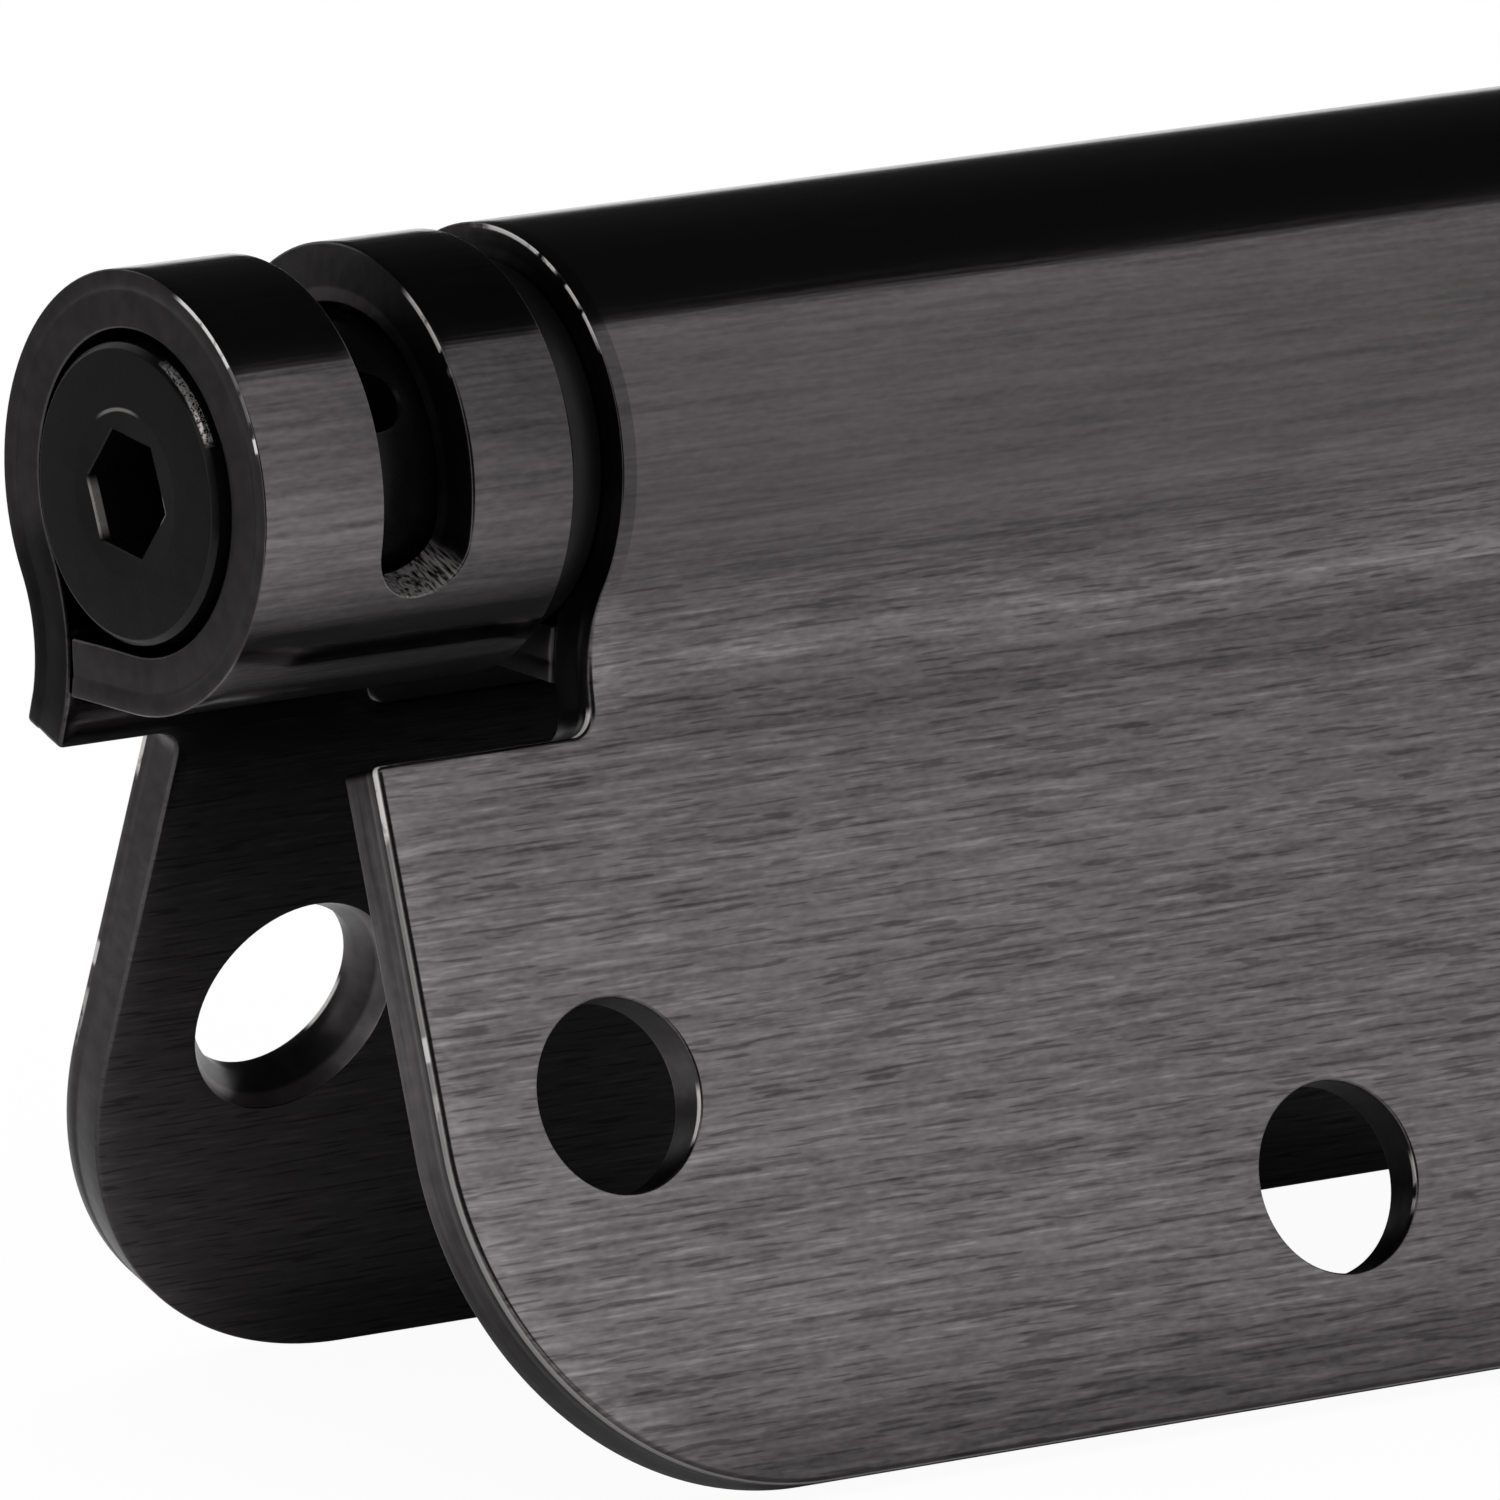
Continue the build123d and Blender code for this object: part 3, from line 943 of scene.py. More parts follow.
@dataclass
class Leaf:
    """One leaf: a punched blank, folded round the barrel."""

    name: str
    side: Side
    body: Body
    node: str
    middle: float
    knuckle_places: tuple[float, ...]
    knuckle_length: float
    has_slot: bool
    edge_banding: float
    screw_holes: ScrewHoles
    punched_corner: float = 0.3 * MM
    hole_radius: float = 4.05 * MM
    middle_hole_drop: float = 35.5 * MM
    slot_width: ClassVar[float] = 4.4 * MM
    slot_reach: ClassVar[float] = math.radians(95.0)
    column_step: float = 2.0 * MM
    flat_step: float = 2.0 * MM
    bend_step: float = 0.5 * MM
    corner_steps: int = 48

    @classmethod
    def slot_end(cls) -> float:
        """Distance up the blank of the centre of the slot's end that is nearer the tail."""
        reach = cls.slot_reach - math.asin(cls.slot_width / 2 / SIZES.barrel_radius)
        return FoldedSheet.curl_place(math.pi + reach)

    def grid_columns(self) -> np.ndarray:
        """Lines of the mesh that cross the barrel's direction."""
        half = SIZES.leaf_length / 2 + SIZES.knuckle_overhang
        return np.linspace(-half, half, round(2 * half / self.column_step) + 1)

    def grid_rows(self) -> np.ndarray:
        """Lines of the mesh along the barrel, closer together where the sheet is bent."""
        neck, curl = FoldedSheet.neck_start(), FoldedSheet.curl_start()
        tail = FoldedSheet.tail_start()
        end = tail + tail_lift(0.0)
        stretches = (
            (0.0, neck, self.flat_step),
            (neck, curl, self.bend_step),
            (curl, tail, self.bend_step),
            (tail, end, 2 * self.bend_step),
        )
        lines = [
            np.linspace(start, stop, max(round((stop - start) / step), 1), endpoint=False)
            for start, stop, step in stretches
        ]
        return np.concatenate(lines)

    def outline(self) -> Outline:
        """Outline of the blank, counter-clockwise from the free edge's left end."""
        half = SIZES.leaf_length / 2
        shoulder = SIZES.leaf_width - SIZES.notch_depth
        tail = FoldedSheet.tail_start() + tail_lift(0.0)
        sharp = {"radius": self.punched_corner, "steps": 4}
        inner = {"radius": SIZES.notch_radius, "steps": 8}
        corners = [
            Corner(-half, 0.0, SIZES.corner_radius, self.corner_steps),
            Corner(half, 0.0, SIZES.corner_radius, self.corner_steps),
        ]
        for place in sorted(self.knuckle_places, reverse=True):
            right, left = place + self.knuckle_length / 2, place - self.knuckle_length / 2
            if right > half:
                corners += [Corner(half, shoulder, **inner), Corner(right, shoulder, **sharp)]
            else:
                if corners[-1].across == 0.0:
                    corners.append(Corner(half, shoulder, **sharp))
                corners.append(Corner(right, shoulder, **inner))
            corners += [
                Corner(right, tail, on_tail=True, **sharp),
                Corner(left, tail, on_tail=True, **sharp),
            ]
            if left < -half:
                corners += [Corner(left, shoulder, **sharp), Corner(-half, shoulder, **inner)]
            else:
                corners.append(Corner(left, shoulder, **inner))
                if place == min(self.knuckle_places):
                    corners.append(Corner(-half, shoulder, **sharp))
        return Outline(corners, self.grid_columns(), self.grid_rows())

    def openings(self) -> list[tuple[Loop, EdgeProfile]]:
        """Screw holes, sunk from the inner face, and the pin's slot where the leaf has it."""
        screws = self.screw_holes
        sink_width = screws.sink_radius - self.hole_radius
        sunk = EdgeProfile(
            outer_round=0.14 * MM,
            inner_round=0.06 * MM,
            support=0.45 * MM,
            sink_place=SIZES.sheet - sink_width / math.tan(screws.sink_angle / 2),
            sink_width=sink_width,
        )
        spots = (
            (-screws.pitch / 2, screws.drop),
            (0.0, self.middle_hole_drop),
            (screws.pitch / 2, screws.drop),
        )
        holes: list[tuple[Loop, EdgeProfile]] = [
            (RoundHole(along, SIZES.leaf_width - drop, self.hole_radius), sunk)
            for along, drop in spots
        ]
        if self.has_slot:
            high = self.slot_end()
            milled = EdgeProfile(outer_round=0.14 * MM, inner_round=0.1 * MM, support=0.45 * MM)
            slot = PinSlot(
                along=SIZES.slot_place,
                low=2 * FoldedSheet.curl_place(math.pi) - high,
                high=high,
                half_width=self.slot_width / 2,
                rows=self.grid_rows(),
            )
            holes.append((slot, milled))
        return holes

    def build(self, fold: bpy.types.NodeTree, finish: bpy.types.Material) -> bpy.types.Object:
        """Builds, folds and dresses the leaf.

        Args:
            fold: The tree that folds a blank.
            finish: The leaf's material.

        Returns:
            The leaf's object.
        """
        punched = EdgeProfile(
            outer_round=0.27 * MM,
            inner_round=0.18 * MM,
            curl_round=0.08 * MM,
            banding=self.edge_banding,
            shear_place=0.75 * MM,
            shear_step=0.03 * MM,
        )
        blank = Blank(
            self.outline(), punched, self.openings(), self.grid_columns(), self.grid_rows()
        )
        piece = new_piece(self.name, blank.mesh(self.name))
        numbers = (
            SIZES.leaf_width,
            SIZES.outer_face,
            SIZES.neck_radius,
            FoldedSheet.neck_turn(),
            SIZES.barrel_radius,
            FoldedSheet.curl_turn(),
            SIZES.half_open,
            float(self.side.value),
            SIZES.pin_height,
            self.middle,
        )
        inputs = dict(zip(FoldedSheet.NUMBERS, numbers))
        inputs |= {"Mirrored": self.side is Side.REAR, "Finish": finish}
        run_tree(piece, fold, inputs)
        place_piece(piece, self.body, self.node)
        return piece


# Turned pieces


def turned_mesh(name: str, profile: Sequence[Corner], segments: int = 144) -> bpy.types.Mesh:
    """Turns a half section about the barrel's axis.

    Args:
        name: Name of the mesh.
        profile: The section's corners, by place along the barrel and radius.
        segments: How many faces go round.

    Returns:
        The closed mesh.
    """
    work = bmesh.new()
    turns = [2 * math.pi * turn / segments for turn in range(segments)]
    rings: list[list[bmesh.types.BMVert]] = []
    for along, radius in Outline(profile).ring(0.0, 0.0):
        spots = [(radius * math.sin(t), SIZES.pin_height + radius * math.cos(t)) for t in turns]
        if radius < SAME_POINT:
            spots = [(0.0, SIZES.pin_height)]
        rings.append([work.verts.new((along, *spot)) for spot in spots])
    for ring, after in zip(rings, rings[1:] + rings[:1]):
        for turn in range(segments):
            onward = (turn + 1) % segments
            if len(ring) == 1 and len(after) == 1:
                break
            if len(ring) == 1:
                work.faces.new((ring[0], after[turn], after[onward]))
            elif len(after) == 1:
                work.faces.new((ring[turn], after[0], ring[onward]))
            else:
                work.faces.new((ring[turn], after[turn], after[onward], ring[onward]))
    bmesh.ops.remove_doubles(work, verts=work.verts, dist=SAME_POINT)
    mesh = close_mesh(work, bpy.data.meshes.new(name))
    smooth(mesh)
    return mesh


def prism_mesh(name: str, sections: Sequence[tuple[Vector, Sequence[Vector]]]) -> bpy.types.Mesh:
    """Builds a closed solid through a row of sections with as many points each.

    Args:
        name: Name of the mesh.
        sections: For each section, its centre and its points round it.

    Returns:
        The mesh.
    """
    work = bmesh.new()
    rings = [[work.verts.new(centre + spot) for spot in spots] for centre, spots in sections]
    for ring, after in zip(rings, rings[1:]):
        for number in range(len(ring)):
            onward = (number + 1) % len(ring)
            work.faces.new((ring[number], ring[onward], after[onward], after[number]))
    work.faces.new(rings[0])
    work.faces.new(rings[-1])
    return close_mesh(work, bpy.data.meshes.new(name))


def facing(angle: float) -> Vector:
    """Direction across the barrel, by its angle from straight up towards the front."""
    return Vector((0.0, -math.sin(angle), math.cos(angle)))


def on_axis(place: float) -> Vector:
    """Point of the barrel's axis, by its place along the barrel."""
    return Vector((place, 0.0, SIZES.pin_height))


@dataclass
class TurnedPieces:
    """The two flanged bushes and the end plug."""

    far_flange: float = 0.9 * MM
    flange_inset: float = 1.4 * MM
    plug_length: float = 5.0 * MM
    plug_chamfer: float = 0.5 * MM
    edge_round: float = 0.15 * MM
    edge_steps: int = 4

    def bush_profile(self, place: float, flange: float) -> list[Corner]:
        """Half section of a flanged bush.

        Args:
            place: Where its flange's seat is along the barrel.
            flange: Thickness of the flange.

        Returns:
            Its corners.
        """
        rounded = {"radius": self.edge_round, "steps": self.edge_steps}
        flange_radius = SIZES.barrel_radius - self.flange_inset
        return [
            Corner(place - flange, SIZES.bush_bore, **rounded),
            Corner(place + SIZES.bush_length, SIZES.bush_bore, **rounded),
            Corner(place + SIZES.bush_length, SIZES.bush_radius, **rounded),
            Corner(place, SIZES.bush_radius, **rounded),
            Corner(place, flange_radius, **rounded),
            Corner(place - flange, flange_radius, **rounded),
        ]

    def build(
        self, bush: bpy.types.Material, plug: bpy.types.Material
    ) -> list[bpy.types.Object]:
        """Builds both bushes and the plug.

        Args:
            bush: The bushes' material.
            plug: The plug's material.

        Returns:
            Their objects.
        """
        far_end = SIZES.barrel_length / 2
        far_knuckle = far_end - SIZES.short_knuckle
        face = far_end - SIZES.plug_recess
        soft = {"radius": self.edge_round, "steps": self.edge_steps}
        plug_profile = [
            Corner(face - self.plug_length, 0.0),
            Corner(face, 0.0),
            Corner(face, SIZES.bush_radius - self.plug_chamfer, **soft),
            Corner(face - self.plug_chamfer, SIZES.bush_radius, **soft),
            Corner(face - self.plug_length, SIZES.bush_radius, **soft),
        ]
        near_profile = self.bush_profile(SIZES.long_near, SIZES.near_flange)
        far_profile = self.bush_profile(far_knuckle, self.far_flange)
        rows = (
            ("Near_bush_flanged", near_profile, Body.FRONT, "near_bush", Slot.BUSH, bush),
            ("Far_bush_flanged", far_profile, Body.REAR, "far_bush", Slot.BUSH, bush),
            ("End_plug_turned", plug_profile, Body.REAR, "end_plug", Slot.HUB, plug),
        )
        pieces = []
        for name, profile, body, node, slot, finish in rows:
            piece = new_piece(name, turned_mesh(name, profile))
            piece.data.materials.append(finish)
            place_piece(piece, body, node)
            pieces.append(piece)
        return pieces


@dataclass
class AdjusterHub:
    """The hub that winds the spring: a turned body with a hex socket, pin holes and a nose."""

    radius: float = SIZES.bore_radius - 0.45 * MM
    chamfer: float = 0.25 * MM
    shoulder_gap: float = 0.3 * MM
    dish_radius: float = 3.5 * MM
    dish_depth: float = 0.25 * MM
    hex_across_flats: float = 4.76 * MM
    hex_depth: float = 6.0 * MM
    hex_angle: ClassVar[float] = math.radians(37.0)
    mouth_chamfer: float = 0.08 * MM
    pin_hole_radius: float = 1.4 * MM
    pin_hole_angle: float = math.radians(52.6)
    pin_hole_count: int = 2
    pin_hole_spacing: float = math.radians(90.0)
    pin_hole_flare: float = 0.14 * MM
    pin_hole_segments: int = 56
    nose_slot_clearance: float = 0.15 * MM
    cut_overrun: float = 2.0 * MM
    edge_round: float = 0.12 * MM
    face_round: float = 0.16 * MM
    dish_round: float = 0.05 * MM
    sharp_angle: float = math.radians(28.0)

    def profile(self) -> list[Corner]:
        """Half section of the hub, without its cuts."""
        face = SIZES.hub_face
        shoulder = SIZES.long_near - SIZES.near_flange - self.shoulder_gap
        soft = {"radius": self.edge_round, "steps": 3}
        return [
            Corner(face + self.dish_depth, 0.0),
            Corner(SIZES.nose_end, 0.0),
            Corner(SIZES.nose_end, SIZES.nose_radius, **soft),
            Corner(SIZES.journal_end, SIZES.nose_radius, **soft),
            Corner(SIZES.journal_end, SIZES.journal_radius, **soft),
            Corner(shoulder, SIZES.journal_radius, **soft),
            Corner(shoulder, self.radius, **soft),
            Corner(face + self.chamfer, self.radius, self.edge_round, steps=4),
            Corner(face, self.radius - self.chamfer, self.face_round, steps=4),
            Corner(face, self.dish_radius, self.dish_round, steps=3),
        ]

    def socket(self) -> bpy.types.Mesh:
        """The hex socket's cutter, with a chamfered mouth that follows the dish."""
        face = SIZES.hub_face
        corner = self.hex_across_flats / math.sqrt(3)
        mouth = face + self.dish_depth * (1 - corner / self.dish_radius)
        wide = corner + self.mouth_chamfer
        places = (
            (face - self.cut_overrun, wide),
            (mouth, wide),
            (mouth + self.mouth_chamfer, corner),
            (face + self.hex_depth, corner),
        )
        corners = [facing(self.hex_angle + k * math.pi / 3) for k in range(6)]
        sections = [(on_axis(at), [spot * radius for spot in corners]) for at, radius in places]
        return prism_mesh("Socket_cutter", sections)

    def pin_hole(self, angle: float) -> bpy.types.Mesh:
        """A pin hole's cutter, flared where it leaves the hub.

        Args:
            angle: The hole's direction, from straight up towards the front.

        Returns:
            The cutter's mesh.
        """
        centre = on_axis(SIZES.slot_place)
        out, along = facing(angle), Vector((1.0, 0.0, 0.0))
        side = out.cross(along)
        flare, past = self.pin_hole_flare, self.cut_overrun
        half = (
            (self.radius + past, self.pin_hole_radius + flare + past),
            (self.radius - flare, self.pin_hole_radius),
        )
        places = [(-reach, wide) for reach, wide in half] + list(reversed(half))
        count = self.pin_hole_segments
        turns = [2 * math.pi * k / count for k in range(count)]
        sections = [
            (
                centre + out * reach,
                [(along * math.cos(t) + side * math.sin(t)) * wide for t in turns],
            )
            for reach, wide in places
        ]
        return prism_mesh("Pin_hole_cutter", sections)

    def nose_slot(self) -> bpy.types.Mesh:
        """The cutter of the slot that takes the spring's tang."""
        width = SIZES.wire_diameter + 2 * self.nose_slot_clearance
        depth = SIZES.nose_length - self.nose_slot_clearance
        angle = math.asin(SIZES.tang_bend / (SIZES.coil_radius - SIZES.tang_bend))
        out = facing(angle) * SIZES.journal_radius
        across = facing(angle).cross(Vector((1.0, 0.0, 0.0))) * width / 2
        spots = [out + across, out - across, -out - across, -out + across]
        ends = (SIZES.nose_end - depth, SIZES.nose_end + self.cut_overrun)
        return prism_mesh("Nose_slot_cutter", [(on_axis(end), spots) for end in ends])

    def build(self, finish: bpy.types.Material) -> bpy.types.Object:
        """Turns the hub, makes its cuts and dresses it.

        Args:
            finish: The hub's material.

        Returns:
            The hub's object.
        """
        hub = new_piece("Adjuster_hub_turned", turned_mesh("Adjuster_hub_turned", self.profile()))
        cutters = [self.socket(), self.nose_slot()] + [
            self.pin_hole(self.pin_hole_angle + k * self.pin_hole_spacing)
            for k in range(self.pin_hole_count)
        ]
        tools = [new_piece(cutter.name, cutter) for cutter in cutters]
        for tool in tools:
            modifier = hub.modifiers.new(tool.name, "BOOLEAN")
            modifier.operation = "DIFFERENCE"
            modifier.solver = "EXACT"
            modifier.object = tool
        keep_result(hub)
        for tool in tools:
            bpy.data.objects.remove(tool)
        smooth(hub.data, self.sharp_angle)
        hub.data.materials.clear()
        hub.data.materials.append(finish)
        place_piece(hub, Body.ADJUSTER, "adjuster_hub")
        return hub


@dataclass
class TorsionSpring:
    """The left-hand coil inside the long knuckle, with a tang at each end."""

    turns: int = 18
    tang_tip_gap: float = 1.0 * MM
    end_gap: float = 0.3 * MM
    anchor_recess: float = 0.3 * MM
    anchor_length: float = 10.0 * MM
    steps_per_turn: int = 48
    bend_steps: int = 10
    wire_sides: int = 18

    def path(self) -> list[Vector]:
        """Points of the wire's centreline, from tang to tang."""
        anchor_face = SIZES.long_far - self.anchor_recess - self.anchor_length
        start = SIZES.journal_end + self.end_gap + SIZES.wire_diameter / 2
        length = anchor_face - SIZES.journal_end - 2 * self.end_gap - SIZES.wire_diameter
        count = self.turns * self.steps_per_turn
        rise = length / (2 * math.pi * self.turns)
        coil = []
        for step in range(count + 1):
            share = step / count
            out = facing(-2 * math.pi * self.turns * share)
            coil.append(on_axis(start + length * share) + out * SIZES.coil_radius)
        slope = Vector((rise, SIZES.coil_radius, 0.0)).normalized()
        first = self.tang(coil[0], -slope)
        last = self.tang(coil[-1], slope)
        return first[::-1] + coil + last

    def tang(self, tip: Vector, onward: Vector) -> list[Vector]:
        """Points of the bend and the tang after one end of the coil.

        Args:
            tip: The coil's end.
            onward: The wire's direction there, out of the coil.

        Returns:
            The points, from the coil to the tang's tip.
        """
        middle = on_axis(tip.x)
        outwards = (tip - middle).normalized()
        centre = middle + outwards * (SIZES.coil_radius - SIZES.tang_bend)
        whole = math.pi / 2 + math.asin(SIZES.tang_bend / (SIZES.coil_radius - SIZES.tang_bend))
        points = []
        for step in range(1, self.bend_steps + 1):
            turned = whole * step / self.bend_steps
            spoke = outwards * math.cos(turned) + onward * math.sin(turned)
            points.append(centre + spoke * SIZES.tang_bend)
        reach = SIZES.coil_inside - self.tang_tip_gap
        return points + [middle + (middle - points[-1]).normalized() * reach]

    @staticmethod
    def tree() -> bpy.types.NodeTree:
        """Builds the Geometry Nodes tree that sweeps a round wire along a line of points."""
        kinds = {"Wire Radius": "Float", "Sides": "Int", "Finish": "Material"}
        tree = start_tree("Sweep_wire", kinds)
        given = add_node(tree, "NodeGroupInput").outputs
        line = add_node(tree, "GeometryNodeMeshToCurve", links={"Mesh": given["Geometry"]})
        section = add_node(
            tree,
            "GeometryNodeCurvePrimitiveCircle",
            links={"Resolution": given["Sides"], "Radius": given["Wire Radius"]},
        )
        wire = add_node(
            tree,
            "GeometryNodeCurveToMesh",
            links={"Curve": line, "Profile Curve": section, "Fill Caps": True},
        )
        shaded = add_node(tree, "GeometryNodeSetShadeSmooth", links=[wire])
        end_tree(tree, shaded, given["Finish"])
        return tree

    def build(self, finish: bpy.types.Material) -> bpy.types.Object:
        """Sweeps and dresses the spring, which lies between the front leaf and the hub.

        Args:
            finish: The wire's material.

        Returns:
            The spring's object.
        """
        points = self.path()
        mesh = bpy.data.meshes.new("Torsion_spring_coil")
        mesh.from_pydata(points, [(k, k + 1) for k in range(len(points) - 1)], [])
        spring = new_piece("Torsion_spring_coil", mesh)
        radius, sides = SIZES.wire_diameter / 2, self.wire_sides
        inputs = {"Wire Radius": radius, "Sides": sides, "Finish": finish}
        run_tree(spring, self.tree(), inputs)
        work = bmesh.new()
        work.from_mesh(spring.data)
        close_mesh(work, spring.data)
        smooth(spring.data)
        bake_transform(spring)
        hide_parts("torsion_spring")
        return spring


# Finishes


class Finish(ABC):
    """A finish that builds its own material."""

    name: str

    @abstractmethod
    def shade(self, tree: bpy.types.NodeTree) -> bpy.types.Node:
        """Adds the finish's nodes and returns its shader."""

    def material(self) -> bpy.types.Material:
        """Builds the material.

        Returns:
            The new material.
        """
        material = bpy.data.materials.new(self.name)
        material.use_nodes = True
        material.node_tree.nodes.clear()
        shader = self.shade(material.node_tree)
        add_node(material.node_tree, "ShaderNodeOutputMaterial", links={"Surface": shader})
        return material


class Streaks(NamedTuple):
    """A layer of lines along the barrel: their length and width, and how much they count."""

    length: float
    width: float
    weight: float


class Fade(NamedTuple):
    """A change of a value: where it starts and stops, and the value before and after it."""

    start: float
    stop: float
    before: float = 0.0
    after: float = 1.0


class RubbedGlint(NamedTuple):
    """A burr rubbed bright, partly painted highlight: its place on the blank, reach and amount."""

    along: float
    up: float
    reach: float
    amount: float = 1.0

    @classmethod
    def on_curl(cls, along: float, degrees: float, reach: float, amount: float = 1.0) -> "RubbedGlint":
        """A rubbed and painted-highlight place on the curl, by its angle round the barrel."""
        return cls(along, FoldedSheet.curl_place(math.radians(degrees)), reach, amount)


class SheetPoint(NamedTuple):
    """What the plate's nodes read at a point of a leaf."""

    place: Any
    along: Any
    up: Any
    depth: Any
    cut: Any
    rim: Any
    band: Any
    reach: Any
    aside: Any  # distance from the middle of the barrel
    flat: Any  # 1 on the flat of the leaf, 0 on the curl
    on_face: Any  # the point without its depth in the sheet


@dataclass(frozen=True)
class BrushedBlackPlate(Finish):
    """Steel sheet, belt brushed along the barrel and then plated with black nickel.

    The plating is a dark mirror: it shows the studio with crisp borders. The brushing under it
    is broken into short dashes, strong on the flat and rubbed faint where the sheet was curled,
    and the flat looks lighter near its cut edges. Painted light and shade lie over the tone:
    bands up the blank, a fall-off along the flat and the short knuckles, and a darker inner
    face. Sheared walls are duller and show bands along the edge, with painted shade near the
    free edge and below the curl, and drilled walls have a painted highlight deep down. Burrs
    are rubbed bright in places and the slot's end is torn; these are partly wear and partly
    painted highlight.
    """

    name: str = "Brushed_black_nickel_steel"
    plate: str = "#625e5f"
    flat_wall: str = "#555153"
    plain_wall: str = "#4a4748"
    burr_glint: str = "#eeeae8"
    torn: str = "#8d8988"
    flat_end: Fade = Fade(
        FoldedSheet.neck_start() + 3 * MM, FoldedSheet.curl_start() + 4 * MM, 1.0, 0.0
    )

    # Brushing
    dashes: tuple[Streaks, ...] = (
        Streaks(0.6 * MM, 0.22 * MM, 0.62),
        Streaks(2.2 * MM, 0.25 * MM, 0.72),
        Streaks(6.0 * MM, 0.25 * MM, 0.72),
        Streaks(24.0 * MM, 0.27 * MM, 0.72),
        Streaks(40.0 * MM, 5.0 * MM, 0.35),
    )
    sway_size: tuple[float, float] = (22.0 * MM, 6.0 * MM)
    sway: float = 0.30 * MM
    curl_contrast: Fade = Fade(
        SIZES.long_knuckle / 2, SIZES.long_knuckle / 2 + SIZES.knuckle_gap, 0.55, 0.85
    )
    inner_contrast: Fade = Fade(-0.9 * SIZES.sheet, -0.5 * SIZES.sheet, 0.40)
    scratch_size: tuple[float, float] = (2.4 * MM, 0.15 * MM)
    dark_scratch: Fade = Fade(0.63, 0.72, 1.0, 0.62)
    light_scratch: Fade = Fade(0.36, 0.27, 1.0, 1.266)

    # Tone up the blank: millimetres from the free edge, and the share of the plate's colour. It is
    # partly the finish, lighter on the flat and the neck than on the curl, and partly painted
    # reflection and shade: the dark line near 77 mm with the light band past it, and darker
    # towards the free edge.
    height_tones_and_painted_light: tuple[tuple[float, float], ...] = (
        *((0.0, 0.40), (0.8, 0.48), (1.8, 0.64), (4.0, 1.00), (7.0, 1.15), (14.0, 1.10)),
        *((24.0, 1.04), (29.5, 0.92), (31.5, 0.74), (32.6, 0.78), (34.2, 1.22), (36.0, 1.10)),
        *((39.0, 1.05), (43.0, 0.68), (47.0, 0.68), (49.5, 0.78), (66.5, 0.60), (69.5, 0.66)),
        *((71.5, 0.86), (73.0, 1.05), (74.5, 0.98), (75.5, 0.78), (76.2, 0.42), (76.9, 0.15)),
        *((77.7, 0.13), (78.2, 0.85), (78.8, 1.50), (80.3, 1.40), (81.1, 0.80), (86.0, 0.80)),
    )
    # Painted light: the flat lighter towards the barrel's -X end and darker towards +X.
    lengthwise_painted_light: Fade = Fade(-SIZES.leaf_length / 2, SIZES.leaf_length / 4, 1.05, 0.87)
    near_cut: Fade = Fade(0.3 * MM, 2.2 * MM, 1.28, 1.0)
    # Painted shade and light: the short knuckles darker next to the gap by the long knuckle and
    # lighter towards the barrel's ends.
    outwards: Fade = Fade(
        SIZES.long_knuckle / 2 + SIZES.knuckle_gap, SIZES.barrel_length / 2, 0.70, 1.20
    )
    # Painted shade: the inner face, which faces the other leaf, darker.
    inner_painted_shade: Fade = Fade(-0.9 * SIZES.sheet, -0.5 * SIZES.sheet, 0.58)

    # Walls
    shear_band: Fade = Fade(-0.95 * MM, -0.65 * MM, 1.15, 0.62)
    streak_size: tuple[float, float, float] = (6 * MM, 6 * MM, 0.35 * MM)
    edge_streaks: Fade = Fade(0.25, 0.75, 0.6, 1.4)
    leaf_side: Fade = Fade(
        SIZES.leaf_width - SIZES.notch_depth - 0.5 * MM,
        SIZES.leaf_width - SIZES.notch_depth - 0.2 * MM,
        1.0,
        0.0,
    )
    mottle_size: float = 0.9 * MM
    mottle_tone: Fade = Fade(0.0, 1.0, 0.6, 1.4)
    foot_shade: Fade = Fade(6.0 * MM, 25.0 * MM, 0.34)
    curl_shade: Fade = Fade(FoldedSheet.curl_start(), FoldedSheet.curl_start() + 3.0 * MM, 0.35)
    # Painted highlight: drilled walls lighter in their deepest part, towards the inner face.
    deep_wall_painted_highlight: Fade = Fade(-1.95 * MM, -1.75 * MM, 2.6, 1.0)
    drilled_band: float = 0.05  # walls with less banding than this are drilled

    # Wear, partly painted highlight
    # The slot's torn end: torn metal, lightened as a painted highlight where the end wall is lit.
    torn_glint_place: tuple[float, float, float] = (SIZES.slot_place, Leaf.slot_end() + 2.0 * MM, 0.0)
    torn_glint_reach: Fade = Fade(2.6 * MM, 1.8 * MM)
    tear_size: tuple[float, float, float] = (0.12 * MM, 0.12 * MM, 1.4 * MM)
    tears: Fade = Fade(0.30, 0.64)
